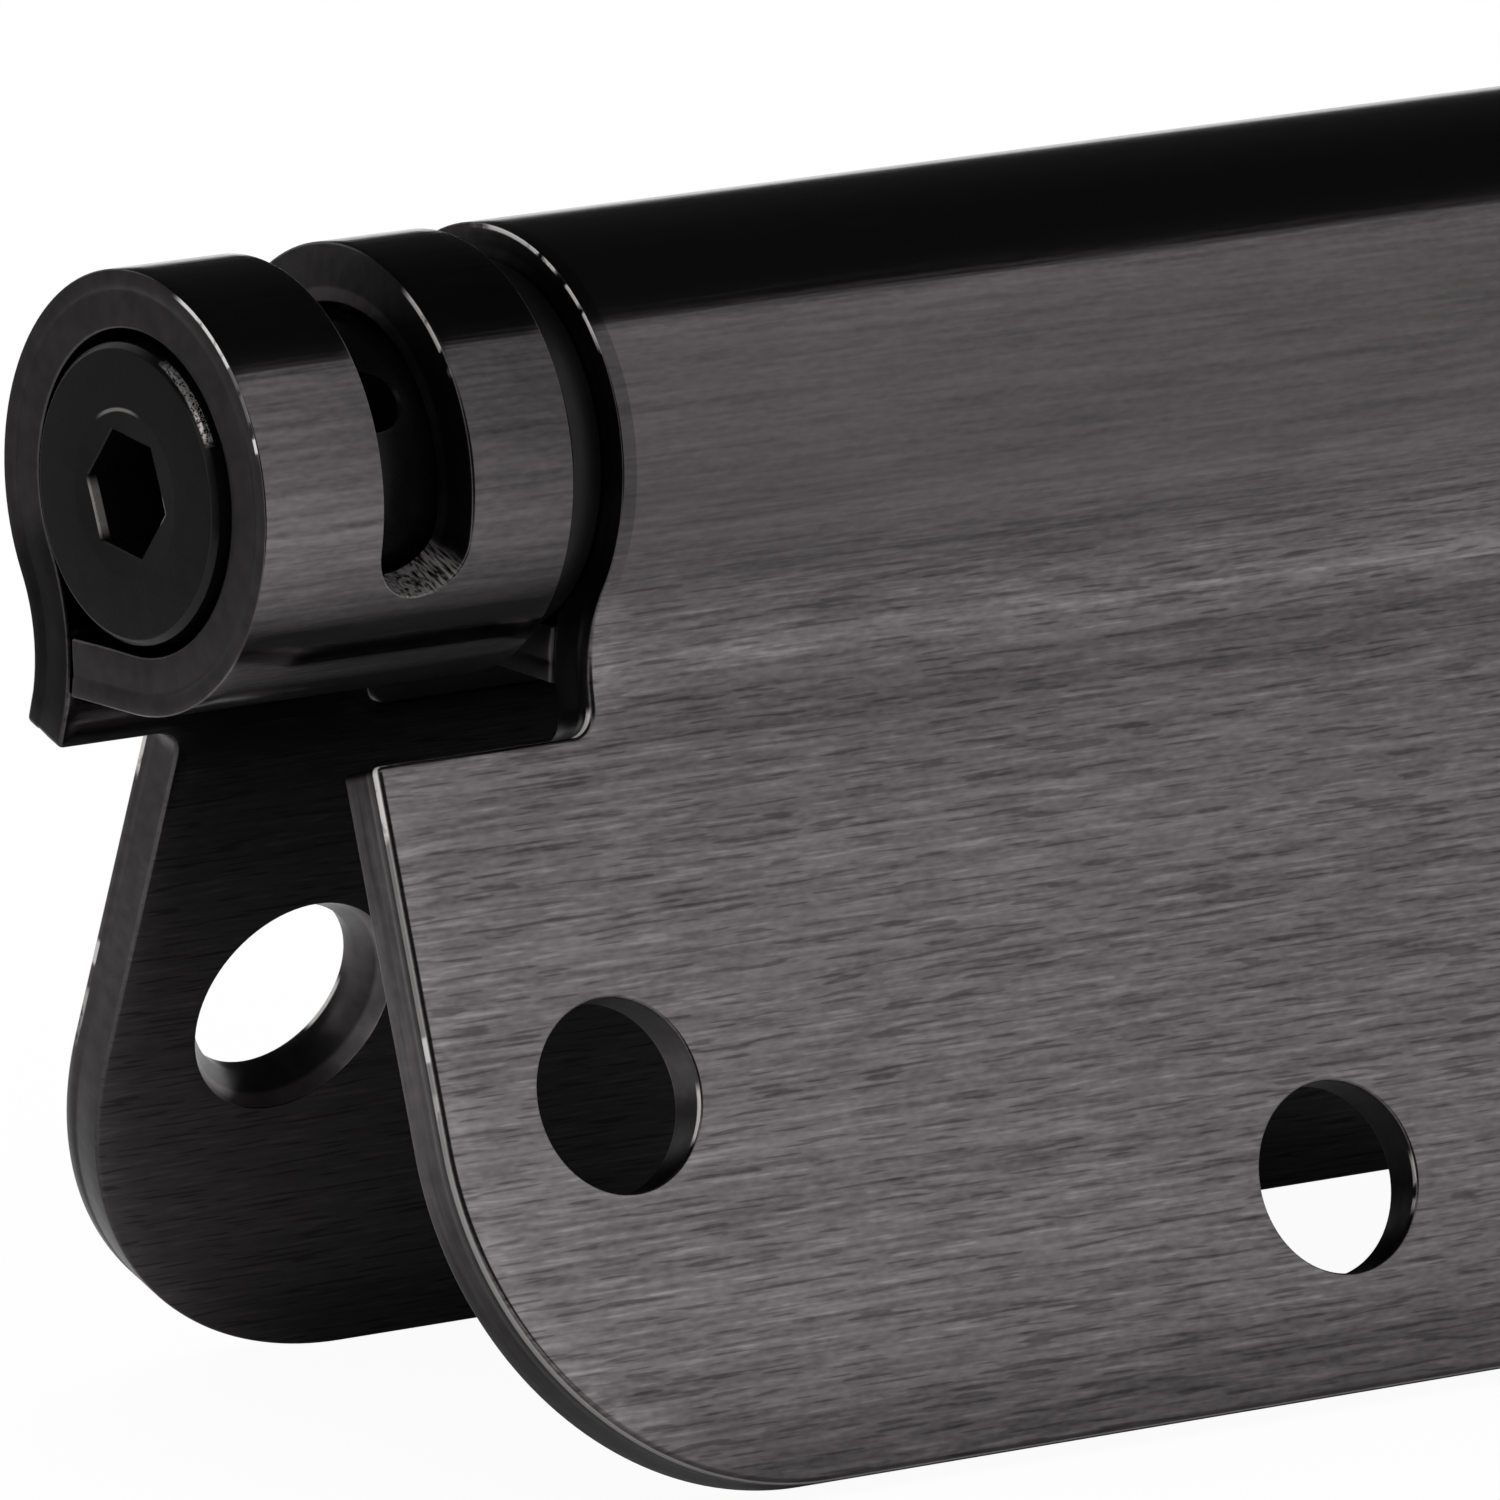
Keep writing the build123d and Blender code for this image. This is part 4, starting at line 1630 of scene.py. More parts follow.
    # Burrs rubbed bright where the edges catch the light: partly wear, partly painted highlight.
    rubbed_glint_places: tuple[RubbedGlint, ...] = (
        RubbedGlint.on_curl(SIZES.near_end, 192.0, 2.4 * MM),
        RubbedGlint.on_curl(SIZES.near_end, 205.0, 0.4 * MM),
        RubbedGlint.on_curl(SIZES.near_end, 214.0, 3.2 * MM, 0.25),
        RubbedGlint.on_curl(SIZES.near_end, 229.0, 0.4 * MM),
        RubbedGlint.on_curl(-SIZES.long_knuckle / 2, 136.0, 6.0 * MM),
        RubbedGlint.on_curl(-40.25 * MM, 203.0, 2.6 * MM, 0.8),
        RubbedGlint(-SIZES.long_knuckle / 2 - 0.5 * MM, 32.2 * MM, 0.9 * MM),
        RubbedGlint(-SIZES.leaf_length / 2, 30.3 * MM, 2.2 * MM, 0.9),
        RubbedGlint(-SIZES.leaf_length / 2, 20.0 * MM, 0.7 * MM, 0.8),
        RubbedGlint(-SIZES.leaf_length / 2, 17.0 * MM, 1.6 * MM, 0.5),
        RubbedGlint(-31.6 * MM, 15.6 * MM, 1.5 * MM, 0.9),
        RubbedGlint(3.9 * MM, 8.2 * MM, 1.5 * MM, 0.7),
    )
    whole_reach: float = 1.0 * MM  # rubbed places, partly painted highlight, up to this size are bright all over
    whole_share: float = 0.6  # share of a place's reach in which it is fully bright
    break_size: float = 1.1 * MM
    breaks: Fade = Fade(0.36, 0.50)
    burr_glint_line: Fade = Fade(0.1, 0.5)
    # Painted highlight, faint, along the burr of every sheared wall on the flat.
    faint_burr_glint: float = 0.3

    # Gloss and relief
    roughness: Fade = Fade(-0.3, 0.3, 0.19, 0.12)
    wall_roughness: float = 0.34
    bare_roughness: float = 0.5
    bare_mirror: float = 0.35  # bared places are only partly metal, so their pale colour shows as painted highlight
    grain_height: float = 0.0011 * MM
    groove_size: tuple[float, float] = (30.0 * MM, 0.30 * MM)
    groove_height: float = 0.0045 * MM
    pit_height: float = 0.02 * MM

    def stretched_noise(
        self, tree: bpy.types.NodeTree, place: Any, size: Sequence[float], detail: float
    ) -> bpy.types.Node:
        """Adds a noise whose features have a size of their own along each axis.

        Args:
            tree: The material's tree.
            place: Where the noise is read.
            size: Size of a feature along and across the brushing, or along each axis.
            detail: How many finer layers it has.

        Returns:
            The noise.
        """
        cell = Vector((*size, size[-1])[:3])
        scaled = add_node(tree, VECTOR, "DIVIDE", (place, cell))
        apart = (cell.x / MM * 17.3, 5.1, cell.y / MM * 9.7)  # keeps the layers from lining up
        shifted = add_node(tree, VECTOR, "ADD", (scaled, apart))
        settings = {"Vector": shifted, "Scale": 1.0, "Detail": detail, "Roughness": 0.5}
        return add_node(tree, NOISE, links=settings)

    def read(self, tree: bpy.types.NodeTree) -> SheetPoint:
        """Adds the nodes that read a leaf's attributes.

        Args:
            tree: The material's tree.

        Returns:
            What they read.
        """
        blank, *marks = (
            add_node(tree, "ShaderNodeAttribute", {"attribute_name": mark}).outputs
            for mark in (BLANK_MARK, CUT_MARK, RIM_MARK, BAND_MARK, REACH_MARK)
        )
        place = blank["Vector"]
        along, up, depth = add_node(tree, SEPARATE, links=[place]).outputs
        return SheetPoint(
            place,
            along,
            up,
            depth,
            *(mark["Fac"] for mark in marks),
            aside=add_node(tree, MATH, "ABSOLUTE", [along]),
            flat=add_node(tree, RANGE, SMOOTH, (up, *self.flat_end)),
            on_face=add_node(tree, COMBINE, links=(along, up, 0.0)),
        )

    def brushing(
        self, tree: bpy.types.NodeTree, at: SheetPoint, brushed: bpy.types.Node
    ) -> tuple[Any, bpy.types.Node]:
        """Adds the brushing, in layers, with less contrast on the curl and the inner face.

        Args:
            tree: The material's tree.
            at: What is read at the point.
            brushed: The point, swayed as the brushing is.

        Returns:
            The sum of the layers, and the share of the tone that they leave.
        """
        total: Any = 0.0
        for layer in self.dashes:
            noise = self.stretched_noise(tree, brushed, (layer.length, layer.width), 1.0)
            centred = add_node(tree, MATH, "SUBTRACT", (noise, 0.5))
            total = add_node(tree, MATH, "MULTIPLY_ADD", (centred, layer.weight, total))
        on_curl = add_node(tree, RANGE, None, (at.aside, *self.curl_contrast))
        inside = add_node(tree, RANGE, None, (at.depth, *self.inner_contrast))
        outside = add_node(tree, MIX, FLOAT, {0: at.flat, 2: on_curl, 3: 1.0})
        contrast = add_node(tree, MATH, "MULTIPLY", (outside, inside))
        return total, add_node(tree, MATH, "MULTIPLY_ADD", (total, contrast, 1.0))

    def scratches(
        self, tree: bpy.types.NodeTree, at: SheetPoint, brushed: bpy.types.Node
    ) -> bpy.types.Node:
        """Adds scratches: the deepest dashes dark, the highest ones light.

        Args:
            tree: The material's tree.
            at: What is read at the point.
            brushed: The point, swayed as the brushing is.

        Returns:
            The share of the tone that they leave.
        """
        mark = self.stretched_noise(tree, brushed, self.scratch_size, 0.0)
        dark = add_node(tree, RANGE, SMOOTH, (mark, *self.dark_scratch))
        light = add_node(tree, RANGE, SMOOTH, (mark, *self.light_scratch))
        both = add_node(tree, MATH, "MULTIPLY", (dark, light))
        return add_node(tree, MIX, FLOAT, {0: at.flat, 2: 1.0, 3: both})

    def tone(self, tree: bpy.types.NodeTree, at: SheetPoint) -> tuple[Any, ...]:
        """Adds the broad tones, with painted light and shade: reflection bands up the blank, a
        fall-off along the flat and the short knuckles, lighter near the cuts, and a darker inner
        face.

        Args:
            tree: The material's tree.
            at: What is read at the point.

        Returns:
            Factors of the tone.
        """
        top = self.height_tones_and_painted_light[-1][0] * MM
        height = add_node(tree, RANGE, None, (at.up, 0.0, top))
        ramp = add_node(tree, "ShaderNodeValToRGB", links=[height])
        ramp.color_ramp.interpolation = "EASE"
        for spot, _ in self.height_tones_and_painted_light[1:-1]:
            ramp.color_ramp.elements.new(spot * MM / top)
        for element, (_, tone) in zip(ramp.color_ramp.elements, self.height_tones_and_painted_light):
            element.color = (tone, tone, tone, 1.0)
        lengthwise_painted_light = add_node(tree, RANGE, None, (at.along, *self.lengthwise_painted_light))
        near_cut = add_node(tree, RANGE, SMOOTH, (at.reach, *self.near_cut))
        edges = add_node(tree, MATH, "MULTIPLY", (lengthwise_painted_light, near_cut))
        outwards = add_node(tree, RANGE, None, (at.aside, *self.outwards))
        on_short = add_node(tree, MATH, "GREATER_THAN", (at.aside, -SIZES.long_near))
        barrel = add_node(tree, MIX, FLOAT, {0: on_short, 2: 1.0, 3: outwards})
        spread = add_node(tree, MIX, FLOAT, {0: at.flat, 2: barrel, 3: edges})
        inner = add_node(tree, RANGE, None, (at.depth, *self.inner_painted_shade))
        return ramp, spread, inner

    def wall(
        self, tree: bpy.types.NodeTree, at: SheetPoint, mottle: bpy.types.Node
    ) -> tuple[bpy.types.Node, bpy.types.Node]:
        """Adds the walls: a darker band under the rim, then streaks along the edge, with painted
        shade near the free edge and below the curl, and a painted highlight deep in drilled walls.

        Args:
            tree: The material's tree.
            at: What is read at the point.
            mottle: The walls' mottle.

        Returns:
            Where a wall shows bands, and the walls' colour.
        """
        depth = add_node(tree, RANGE, SMOOTH, (at.depth, *self.shear_band))
        streak = self.stretched_noise(tree, at.place, self.streak_size, 1.0)
        streaked = add_node(tree, RANGE, None, (streak, *self.edge_streaks))
        bands = add_node(tree, MATH, "MULTIPLY", (depth, streaked))
        side_edge = add_node(tree, RANGE, SMOOTH, (at.up, *self.leaf_side))
        banded = add_node(tree, MATH, "MULTIPLY", (at.band, side_edge))
        tone = add_node(tree, MIX, FLOAT, {0: banded, 2: 1.0, 3: bands})
        mottled = add_node(tree, RANGE, None, (mottle, *self.mottle_tone))
        low = add_node(tree, RANGE, SMOOTH, (at.up, *self.foot_shade))
        under = add_node(tree, RANGE, SMOOTH, (at.up, *self.curl_shade))
        sheltered = add_node(tree, MIX, FLOAT, {0: side_edge, 2: under, 3: low})
        sunk = add_node(tree, RANGE, SMOOTH, (at.depth, *self.deep_wall_painted_highlight))
        drilled = add_node(tree, MATH, "LESS_THAN", (at.band, self.drilled_band))
        bored = add_node(tree, MIX, FLOAT, {0: drilled, 2: sheltered, 3: sunk})
        for factor in (mottled, bored):
            tone = add_node(tree, MATH, "MULTIPLY", (tone, factor))
        plain, flat = linear(self.plain_wall), linear(self.flat_wall)
        colour = add_node(tree, MIX, COLOUR, {0: banded, 6: plain, 7: flat})
        return banded, add_node(tree, VECTOR, "SCALE", {0: colour, "Scale": tone})

    def wear(
        self, tree: bpy.types.NodeTree, at: SheetPoint, banded: bpy.types.Node
    ) -> tuple[bpy.types.Node, bpy.types.Node]:
        """Adds the slot's torn end, and burrs that are rubbed bright in broken stretches.

        Args:
            tree: The material's tree.
            at: What is read at the point.
            banded: Where a wall shows bands.

        Returns:
            Where the metal is torn, and where it is rubbed bright, both partly painted highlight.
        """
        away = add_node(tree, VECTOR, "DISTANCE", (at.on_face, self.torn_glint_place))
        close = add_node(tree, RANGE, SMOOTH, (away, *self.torn_glint_reach))
        tear = self.stretched_noise(tree, at.place, self.tear_size, 2.0)
        tears = add_node(tree, RANGE, SMOOTH, (tear, *self.tears))
        torn_wall = add_node(tree, MATH, "MULTIPLY", (close, at.cut))
        torn = add_node(tree, MATH, "MULTIPLY", (torn_wall, tears))

        rubbed = self.stretched_noise(tree, at.place, (self.break_size,) * 3, 3.0)
        broken = add_node(tree, RANGE, SMOOTH, (rubbed, *self.breaks))
        patches: Any = 0.0
        for spot in self.rubbed_glint_places:
            gap = add_node(tree, VECTOR, "DISTANCE", (at.on_face, (spot.along, spot.up, 0.0)))
            limits = (spot.reach, self.whole_share * spot.reach, 0.0, spot.amount)
            worn = add_node(tree, RANGE, SMOOTH, (gap, *limits))
            if spot.reach > self.whole_reach:
                worn = add_node(tree, MATH, "MULTIPLY", (worn, broken))
            patches = add_node(tree, MATH, "MAXIMUM", (patches, worn))
        faint = add_node(tree, MATH, "MULTIPLY", (banded, self.faint_burr_glint))
        always = add_node(tree, MATH, "MAXIMUM", (patches, faint))
        burr_glint = add_node(tree, RANGE, SMOOTH, (at.rim, *self.burr_glint_line))
        return torn, add_node(tree, MATH, "MULTIPLY", (burr_glint, always))

    def relief(
        self,
        tree: bpy.types.NodeTree,
        at: SheetPoint,
        brushed: bpy.types.Node,
        grain: Any,
        pit: bpy.types.Node,
    ) -> bpy.types.Node:
        """Adds the relief: the brushing's grain, long grooves, and pits in the walls.

        Args:
            tree: The material's tree.
            at: What is read at the point.
            brushed: The point, swayed as the brushing is.
            grain: The sum of the brushing's layers.
            pit: The walls' mottle.

        Returns:
            The relief's normal.
        """
        groove = self.stretched_noise(tree, brushed, self.groove_size, 1.0)
        grooves = add_node(tree, MATH, "MULTIPLY", (groove, self.groove_height))
        lines = add_node(tree, MATH, "MULTIPLY_ADD", (grain, self.grain_height, grooves))
        pits = add_node(tree, MATH, "MULTIPLY", (pit, self.pit_height))
        height = add_node(tree, MIX, FLOAT, {0: at.cut, 2: lines, 3: pits})
        settings = {"Strength": 1.0, "Distance": 1.0, "Height": height}
        return add_node(tree, "ShaderNodeBump", links=settings)

    def shade(self, tree: bpy.types.NodeTree) -> bpy.types.Node:
        """Adds the plate's nodes and returns its shader."""
        at = self.read(tree)
        sway = self.stretched_noise(tree, at.place, self.sway_size, 0.0)
        swayed = add_node(tree, MATH, "MULTIPLY_ADD", (sway, self.sway, at.up))
        brushed = add_node(tree, COMBINE, links=(at.along, swayed, at.depth))
        grain, brushing = self.brushing(tree, at, brushed)
        tone, *factors = self.tone(tree, at)
        for factor in (*factors, brushing, self.scratches(tree, at, brushed)):
            tone = add_node(tree, MATH, "MULTIPLY", (tone, factor))
        face = add_node(tree, VECTOR, "SCALE", {0: linear(self.plate)[:3], "Scale": tone})
        mottle = self.stretched_noise(tree, at.place, (self.mottle_size,) * 3, 2.0)
        banded, wall = self.wall(tree, at, mottle)
        torn, bright = self.wear(tree, at, banded)
        # Bared places: the torn end and the bright burrs, partly wear and partly painted
        # highlight.
        bared_and_glint = add_node(tree, MATH, "MAXIMUM", (bright, torn))

        colour: Any = face
        layers = ((at.cut, wall), (torn, linear(self.torn)), (bright, linear(self.burr_glint)))
        for factor, other in layers:
            colour = add_node(tree, MIX, COLOUR, {0: factor, 6: colour, 7: other})
        gloss = add_node(tree, RANGE, None, (grain, *self.roughness))
        duller = add_node(tree, MIX, FLOAT, {0: at.cut, 2: gloss, 3: self.wall_roughness})
        rough = add_node(tree, MIX, FLOAT, {0: bared_and_glint, 2: duller, 3: self.bare_roughness})
        mirror = add_node(tree, MIX, FLOAT, {0: bared_and_glint, 2: 1.0, 3: self.bare_mirror})
        settings = {
            "Base Color": colour,
            "Metallic": mirror,
            "Roughness": rough,
            "Normal": self.relief(tree, at, brushed, grain, mottle),
        }
        return add_node(tree, "ShaderNodeBsdfPrincipled", links=settings)


class WornGlintEdge(NamedTuple):
    """A worn edge of the hub, partly painted highlight: the least and the most distance from its
    axis, and the places.
    """

    limits: tuple[float, float]
    places: tuple[tuple[float, float, float], ...]  # degrees from straight up, reach and amount


@dataclass(frozen=True)
class BlackOxide(Finish):
    """Turned steel, blackened in a hot salt bath and oiled.

    The oxide hides the metal's shine: it looks deep black with a thin, smooth gloss and faint
    rings from turning. Keys and pins have rubbed it off along sharp edges, in specks, and the
    bare places sit where the edges catch the light, so they are partly painted highlight.
    """

    name: str = "Black_oxide_steel"
    oxide: str = "#090808"
    bare_and_glint: str = "#c4c0be"
    roughness: Fade = Fade(0.3, 0.7, 0.22, 0.34)
    refraction: float = 1.45  # of the oiled oxide, which hides the metal
    gloss: float = 0.25
    blotch_scale: float = 900.0  # blotches of about 1 mm
    speck_scale: float = 9000.0  # specks of about 0.1 mm
    specks: Fade = Fade(0.36, 0.56)
    ring_width: float = 0.09 * MM
    ring_height: float = 0.0006 * MM
    softness: float = 0.03 * MM
    whole_share: float = 0.4  # share of a place's reach in which it is fully worn
    face_reach: tuple[float, float] = (SIZES.hub_face - 1.0 * MM, SIZES.hub_face + 0.5 * MM)
    # Worn edges set where they catch the light: partly wear, partly painted highlight.
    rim: WornGlintEdge = WornGlintEdge(
        (6.13 * MM, 6.30 * MM), ((51.0, 1.3 * MM, 1.0), (34.0, 1.7 * MM, 0.35))
    )
    dish: WornGlintEdge = WornGlintEdge((3.42 * MM, 3.56 * MM), ((350.0, 1.7 * MM, 0.30),))
    flats: WornGlintEdge = WornGlintEdge(
        (2.38 * MM, 2.47 * MM), ((247.0, 1.4 * MM, 0.8), (96.0, 0.7 * MM, 0.8))
    )

    def between(
        self, tree: bpy.types.NodeTree, value: Any, limits: tuple[float, float]
    ) -> bpy.types.Node:
        """Adds a mask that is 1 where a distance lies between two limits.

        Args:
            tree: The material's tree.
            value: The distance.
            limits: The lower and the upper limit.

        Returns:
            The mask.
        """
        sides = [
            add_node(tree, RANGE, SMOOTH, (value, limit - self.softness, limit + self.softness))
            for limit in limits
        ]
        return add_node(tree, MATH, {"operation": "SUBTRACT", "use_clamp": True}, sides)

    def worn(self, tree: bpy.types.NodeTree, place: Any, radial: Any, radius: Any) -> Any:
        """Adds the worn places, partly painted highlight: the chamfer, the dish's rim and the hex
        socket's mouth.

        Args:
            tree: The material's tree.
            place: The point in the object's coordinates.
            radial: The point across the hub's axis.
            radius: Its distance from the axis.

        Returns:
            Where the oxide is worn off and a highlight is painted.
        """
        across: Any = 0.0
        for side in range(3):
            normal = facing(AdjusterHub.hex_angle + (side + 0.5) * math.pi / 3)
            reach = add_node(tree, VECTOR, "DOT_PRODUCT", (radial, normal))
            size = add_node(tree, MATH, "ABSOLUTE", [reach])
            across = add_node(tree, MATH, "MAXIMUM", (across, size))
        settings = {"Vector": place, "Scale": self.speck_scale, "Detail": 1.0}
        specks = add_node(tree, NOISE, links=settings)
        speckled = add_node(tree, RANGE, SMOOTH, (specks, *self.specks))
        worn: Any = 0.0
        for edge, distance, broken in (
            (self.rim, radius, speckled),
            (self.dish, radius, 1.0),
            (self.flats, across, 1.0),
        ):
            on_edge = self.between(tree, distance, edge.limits)
            on_edge = add_node(tree, MATH, "MULTIPLY", (on_edge, broken))
            for turn, reach, amount in edge.places:
                spot = facing(math.radians(turn)) * sum(edge.limits) / 2
                gap = add_node(tree, VECTOR, "DISTANCE", (radial, spot))
                limits = (reach, self.whole_share * reach, 0.0, amount)
                near = add_node(tree, RANGE, SMOOTH, (gap, *limits))
                here = add_node(tree, MATH, "MULTIPLY", (on_edge, near))
                worn = add_node(tree, MATH, "MAXIMUM", (worn, here))
        return worn

    def shade(self, tree: bpy.types.NodeTree) -> bpy.types.Node:
        """Adds the oxide's nodes and returns its shader."""
        place = add_node(tree, "ShaderNodeTexCoord").outputs["Object"]
        centred = add_node(tree, VECTOR, "SUBTRACT", (place, on_axis(0.0)))
        along, level, rise = add_node(tree, SEPARATE, links=[centred]).outputs
        radial = add_node(tree, COMBINE, links=(0.0, level, rise))
        radius = add_node(tree, VECTOR, "LENGTH", [radial])
        step = add_node(tree, COMBINE, links=(along, radius, 0.0))
        settings = {"Vector": step, "Scale": 1 / self.ring_width, "Detail": 1.0}
        rings = add_node(tree, NOISE, links=settings)
        settings = {"Vector": place, "Scale": self.blotch_scale, "Detail": 4.0}
        blotch = add_node(tree, NOISE, links=settings)
        at_face = self.between(tree, along, self.face_reach)
        worn = self.worn(tree, place, radial, radius)
        bare_and_glint = add_node(tree, MATH, "MULTIPLY", (worn, at_face))
        oxide, metal = linear(self.oxide), linear(self.bare_and_glint)
        settings = {"Strength": 1.0, "Distance": self.ring_height, "Height": rings}
        settings = {
            "Base Color": add_node(tree, MIX, COLOUR, {0: bare_and_glint, 6: oxide, 7: metal}),
            "Metallic": bare_and_glint,
            "Roughness": add_node(tree, RANGE, None, (blotch, *self.roughness)),
            "IOR": self.refraction,
            "Specular IOR Level": self.gloss,
            "Normal": add_node(tree, "ShaderNodeBump", links=settings),
        }
        return add_node(tree, "ShaderNodeBsdfPrincipled", links=settings)


@dataclass(frozen=True)
class BlackAcetal(Finish):
    """Moulded black acetal: a slick plastic with a satin skin and a fine, even mottle."""

    name: str = "Moulded_black_acetal"
    skin: str = "#0b0a0a"
    mottle_size: float = 0.5 * MM
    roughness: Fade = Fade(0.0, 1.0, 0.34, 0.52)
    refraction: float = 1.48
    gloss: float = 0.3

    def shade(self, tree: bpy.types.NodeTree) -> bpy.types.Node:
        """Adds the plastic's nodes and returns its shader."""
        place = add_node(tree, "ShaderNodeTexCoord").outputs["Object"]
        settings = {"Vector": place, "Scale": 1 / self.mottle_size, "Detail": 3.0}
        mottle = add_node(tree, NOISE, links=settings)
        settings = {
            "Base Color": linear(self.skin),
            "Metallic": 0.0,
            "Roughness": add_node(tree, RANGE, None, (mottle, *self.roughness)),
            "IOR": self.refraction,
            "Specular IOR Level": self.gloss,
        }
        return add_node(tree, "ShaderNodeBsdfPrincipled", links=settings)


@dataclass(frozen=True)
class SpringWire(Finish):
    """Drawn spring steel, oil tempered.

    Drawing leaves fine lines along the wire, and tempering a grey-brown oxide with a soft sheen.
    """

    name: str = "Oil_tempered_spring_wire"
    scale_light: str = "#6a645e"
    scale_dark: str = "#37332f"
    patch_scale: float = 700.0  # patches of about 1.4 mm
    roughness: float = 0.38

    def shade(self, tree: bpy.types.NodeTree) -> bpy.types.Node:
        """Adds the wire's nodes and returns its shader."""
        place = add_node(tree, "ShaderNodeTexCoord").outputs["Object"]
        settings = {"Vector": place, "Scale": self.patch_scale, "Detail": 5.0}
        patches = add_node(tree, NOISE, links=settings)
        dark, light = linear(self.scale_dark), linear(self.scale_light)
        colour = add_node(tree, MIX, COLOUR, {0: patches, 6: dark, 7: light})
        settings = {"Base Color": colour, "Metallic": 1.0, "Roughness": self.roughness}
        return add_node(tree, "ShaderNodeBsdfPrincipled", links=settings)


@dataclass(frozen=True)
class MattFloor(Finish):
    """A pale, matt table, which the camera sees white with a faint shadow of the hinge."""

    name: str = "Pale_matt_floor"
    colour: str = "#f2f2f2"
    shadow_share: float = 0.05
    table_reach: Fade = Fade(0.10, 0.15)  # where metal stops seeing the floor

    def shade(self, tree: bpy.types.NodeTree) -> bpy.types.Node:
        """Adds the floor's nodes and returns its shader."""
        rays = add_node(tree, "ShaderNodeLightPath").outputs
        matt = add_node(tree, "ShaderNodeBsdfDiffuse", links=[linear(self.colour)])
        shadow = add_node(tree, "ShaderNodeBsdfDiffuse", links=[linear(WHITE)])
        white = add_node(tree, "ShaderNodeEmission", links=(linear(WHITE), 1.0))
        seen = add_node(tree, MIX_SHADER, links=(self.shadow_share, white, shadow))
        clear = add_node(tree, "ShaderNodeBsdfTransparent")
        place = add_node(tree, "ShaderNodeTexCoord").outputs["Object"]
        away = add_node(tree, VECTOR, "LENGTH", [place])
        past = add_node(tree, RANGE, SMOOTH, (away, *self.table_reach))
        unseen = add_node(tree, MATH, "MULTIPLY", (past, rays["Is Glossy Ray"]))
        lit = add_node(tree, MIX_SHADER, links=(unseen, matt, clear))
        return add_node(tree, MIX_SHADER, links=(rays["Is Camera Ray"], lit, seen))


# Studio


class Shade(NamedTuple):
    """A part of the studio that the hinge reflects: a cone of directions and its level."""

    towards: tuple[float, float, float]
    inner: float  # cosine of the angle inside which it is at its level
    outer: float  # cosine of the angle outside which it isn't seen
    level: float


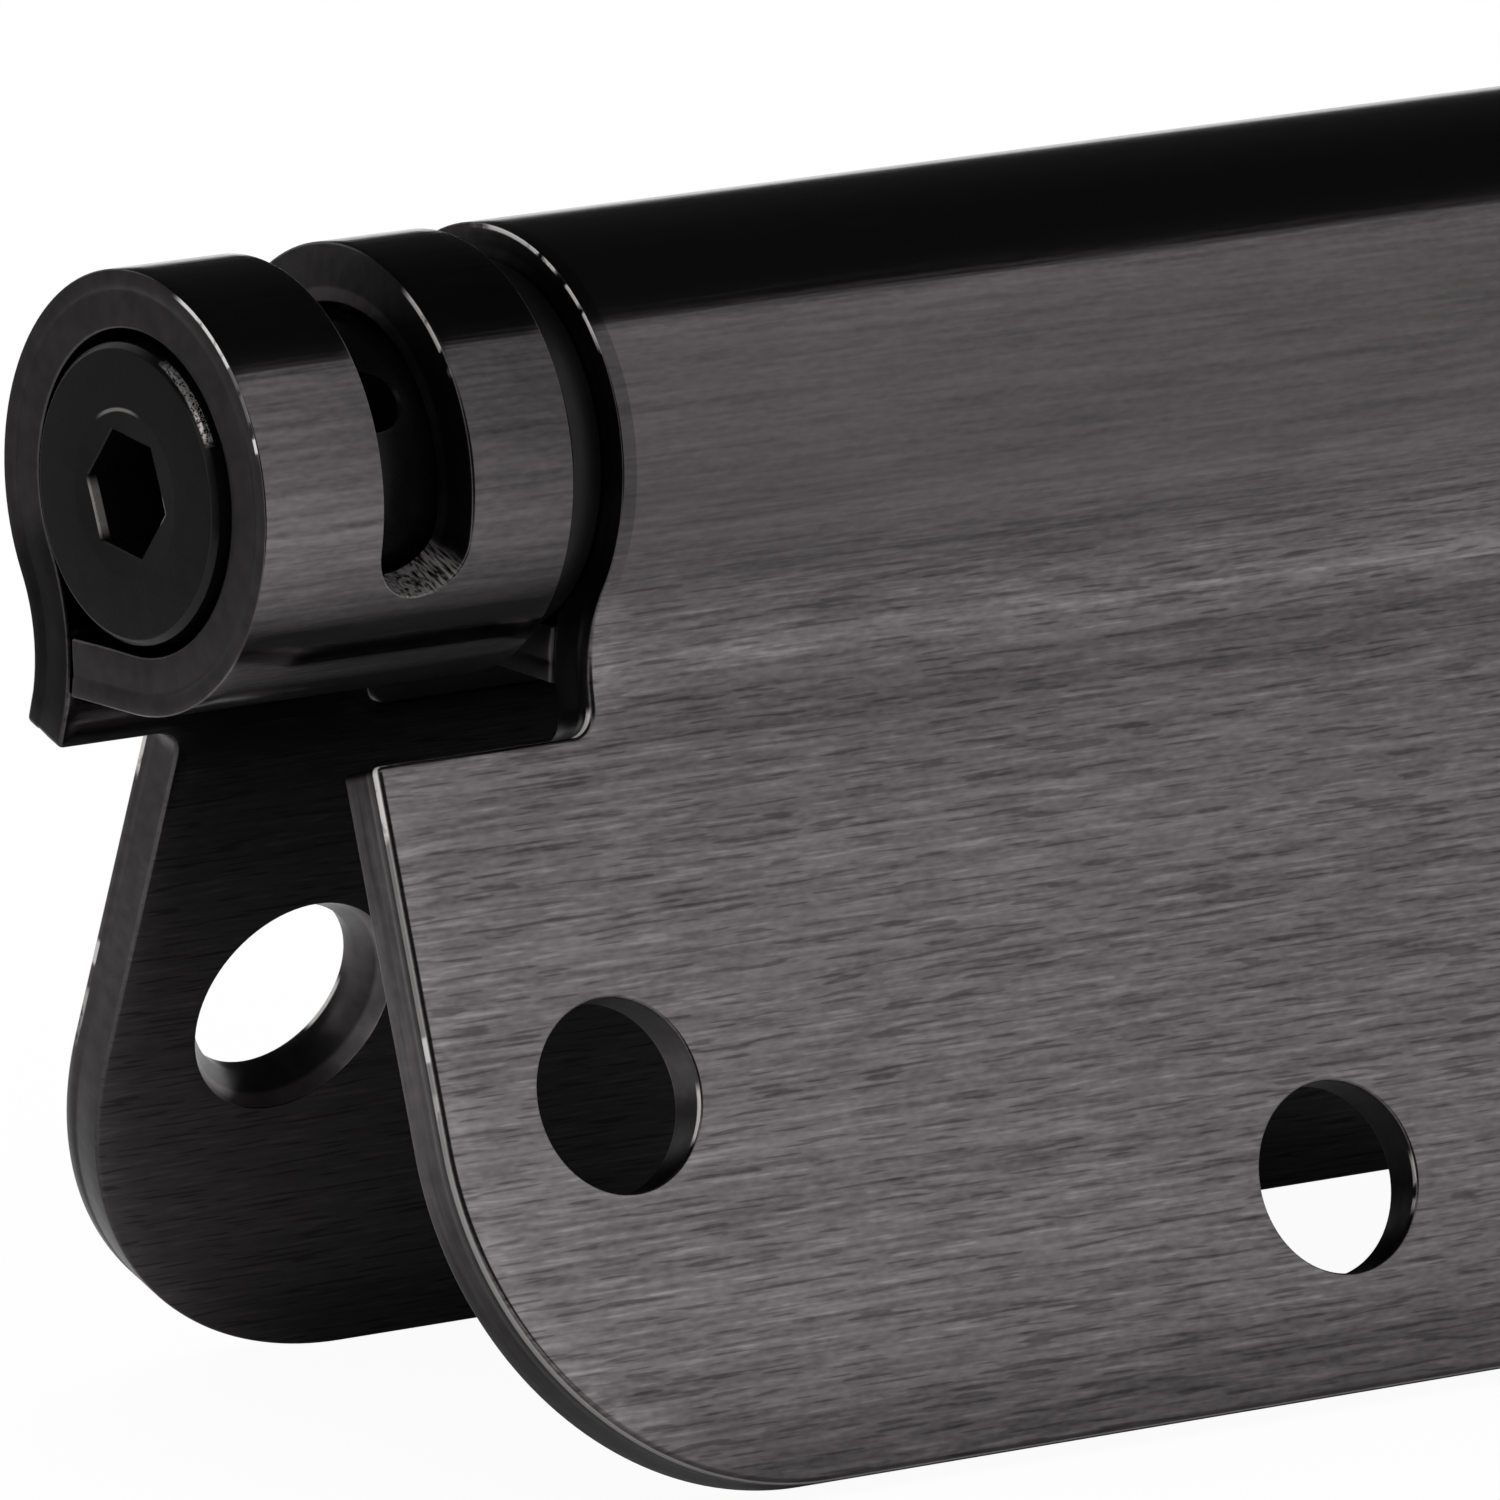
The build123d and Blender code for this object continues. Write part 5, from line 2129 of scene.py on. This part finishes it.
@dataclass
class Studio:
    """A pale floor, soft light all round with dark flags, and the camera."""

    floor_size: float = 6.0
    soft_level: float = 1.0
    shades: tuple[Shade, ...] = (
        Shade((0.0, 0.528, 0.849), 0.514, 0.458, 0.03),
        Shade((-0.42, -0.90, 0.05), 0.848, 0.695, 0.04),
        Shade((-0.56, 0.80, -0.22), 0.90, 0.55, 0.25),
    )
    window: Shade = Shade((-0.15, 0.91, 0.38), 0.95, 0.86, 0.7)  # lights the back
    camera_place: tuple[float, float, float] = (-0.64706, -0.83424, 0.25586)
    camera_turn: tuple[float, float, float] = (77.6445, -0.7360, -36.8103)
    focal_length: float = 617.25
    sensor_width: float = 36.0
    clip: tuple[float, float] = (0.01, 50.0)

    def build_floor(self) -> None:
        """Lays the floor under the hinge."""
        half = self.floor_size / 2
        corners = [(-half, -half, 0.0), (half, -half, 0.0), (half, half, 0.0), (-half, half, 0.0)]
        mesh = bpy.data.meshes.new("Floor")
        mesh.from_pydata(corners, [], [(0, 1, 2, 3)])
        mesh.materials.append(MattFloor().material())
        new_piece("Floor", mesh)

    def build_world(self) -> None:
        """Builds the light: white to the camera, soft on matt things, flagged for metal."""
        world = bpy.data.worlds.new("Soft_studio")
        bpy.context.scene.world = world
        world.use_nodes = True
        world.cycles.sampling_method = "NONE"
        tree = world.node_tree
        tree.nodes.clear()
        rays = add_node(tree, "ShaderNodeLightPath").outputs
        towards = add_node(tree, "ShaderNodeTexCoord").outputs["Generated"]
        level: Any = 1.0
        for shade in (*self.shades, self.window):
            adds = shade is self.window
            limits = (shade.outer, shade.inner, 0.0 if adds else 1.0, shade.level)
            aim = Vector(shade.towards).normalized()
            near = add_node(tree, VECTOR, "DOT_PRODUCT", (towards, aim))
            held = add_node(tree, RANGE, SMOOTH, (near, *limits))
            level = add_node(tree, MATH, "MAXIMUM" if adds else "MULTIPLY", (level, held))
        glossy = rays["Is Glossy Ray"]
        glossy = add_node(tree, MIX, FLOAT, {0: glossy, 2: self.soft_level, 3: level})
        seen = add_node(tree, MIX, FLOAT, {0: rays["Is Camera Ray"], 2: glossy, 3: 1.0})
        light = add_node(tree, "ShaderNodeBackground", links=(linear(WHITE), seen))
        add_node(tree, "ShaderNodeOutputWorld", links=[light])

    def build_camera(self) -> None:
        """Sets up the camera at the photograph's viewing angle."""
        data = bpy.data.cameras.new("Camera")
        data.lens = self.focal_length
        data.sensor_width = self.sensor_width
        data.clip_start, data.clip_end = self.clip
        camera = bpy.data.objects.new("Camera", data)
        bpy.context.scene.collection.objects.link(camera)
        camera.location = self.camera_place
        camera.rotation_euler = Euler([math.radians(turn) for turn in self.camera_turn], "XYZ")
        bpy.context.scene.camera = camera

    def build(self) -> None:
        """Builds the floor, the light and the camera, and sets the plain view transform."""
        self.build_floor()
        self.build_world()
        self.build_camera()
        bpy.context.scene.view_settings.view_transform = "Standard"


def report(piece: bpy.types.Object) -> None:
    """Logs a piece's name and how many triangles it has."""
    triangles = sum(len(face.vertices) - 2 for face in piece.data.polygons)
    log.info("%s: %d triangles", piece.name, triangles)


def main() -> None:
    """Builds the whole scene and reports each piece."""
    logging.basicConfig(level=logging.INFO, format="%(name)s: %(message)s")
    Studio().build()
    plate = BrushedBlackPlate().material()
    oxide = BlackOxide().material()
    acetal = BlackAcetal().material()
    wire = SpringWire().material()

    knuckle_place = (SIZES.barrel_length - SIZES.short_knuckle) / 2
    fold = FoldedSheet.tree()
    leaves = (
        Leaf(
            "Rear_leaf_folded",
            Side.REAR,
            Body.REAR,
            "rear_leaf",
            0.0,
            (-knuckle_place, knuckle_place),
            SIZES.short_knuckle,
            has_slot=True,
            edge_banding=0.1,
            screw_holes=ScrewHoles(70.4 * MM, 27.1 * MM, 4.95 * MM, math.radians(62.0)),
        ),
        Leaf(
            "Front_leaf_folded",
            Side.FRONT,
            Body.FRONT,
            "front_leaf",
            SIZES.front_slide,
            (0.0,),
            SIZES.long_knuckle,
            has_slot=False,
            edge_banding=1.0,
            screw_holes=ScrewHoles(71.0 * MM, 27.5 * MM, 4.7 * MM, math.radians(90.0)),
        ),
    )
    for leaf in leaves:
        report(leaf.build(fold, plate))
    report(AdjusterHub().build(oxide))
    for piece in TurnedPieces().build(acetal, oxide):
        report(piece)
    report(TorsionSpring().build(wire))
    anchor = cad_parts["spring_anchor"]
    anchor.data.materials.clear()
    anchor.data.materials.append(oxide)
    report(anchor)


if __name__ == "__main__":
    main()
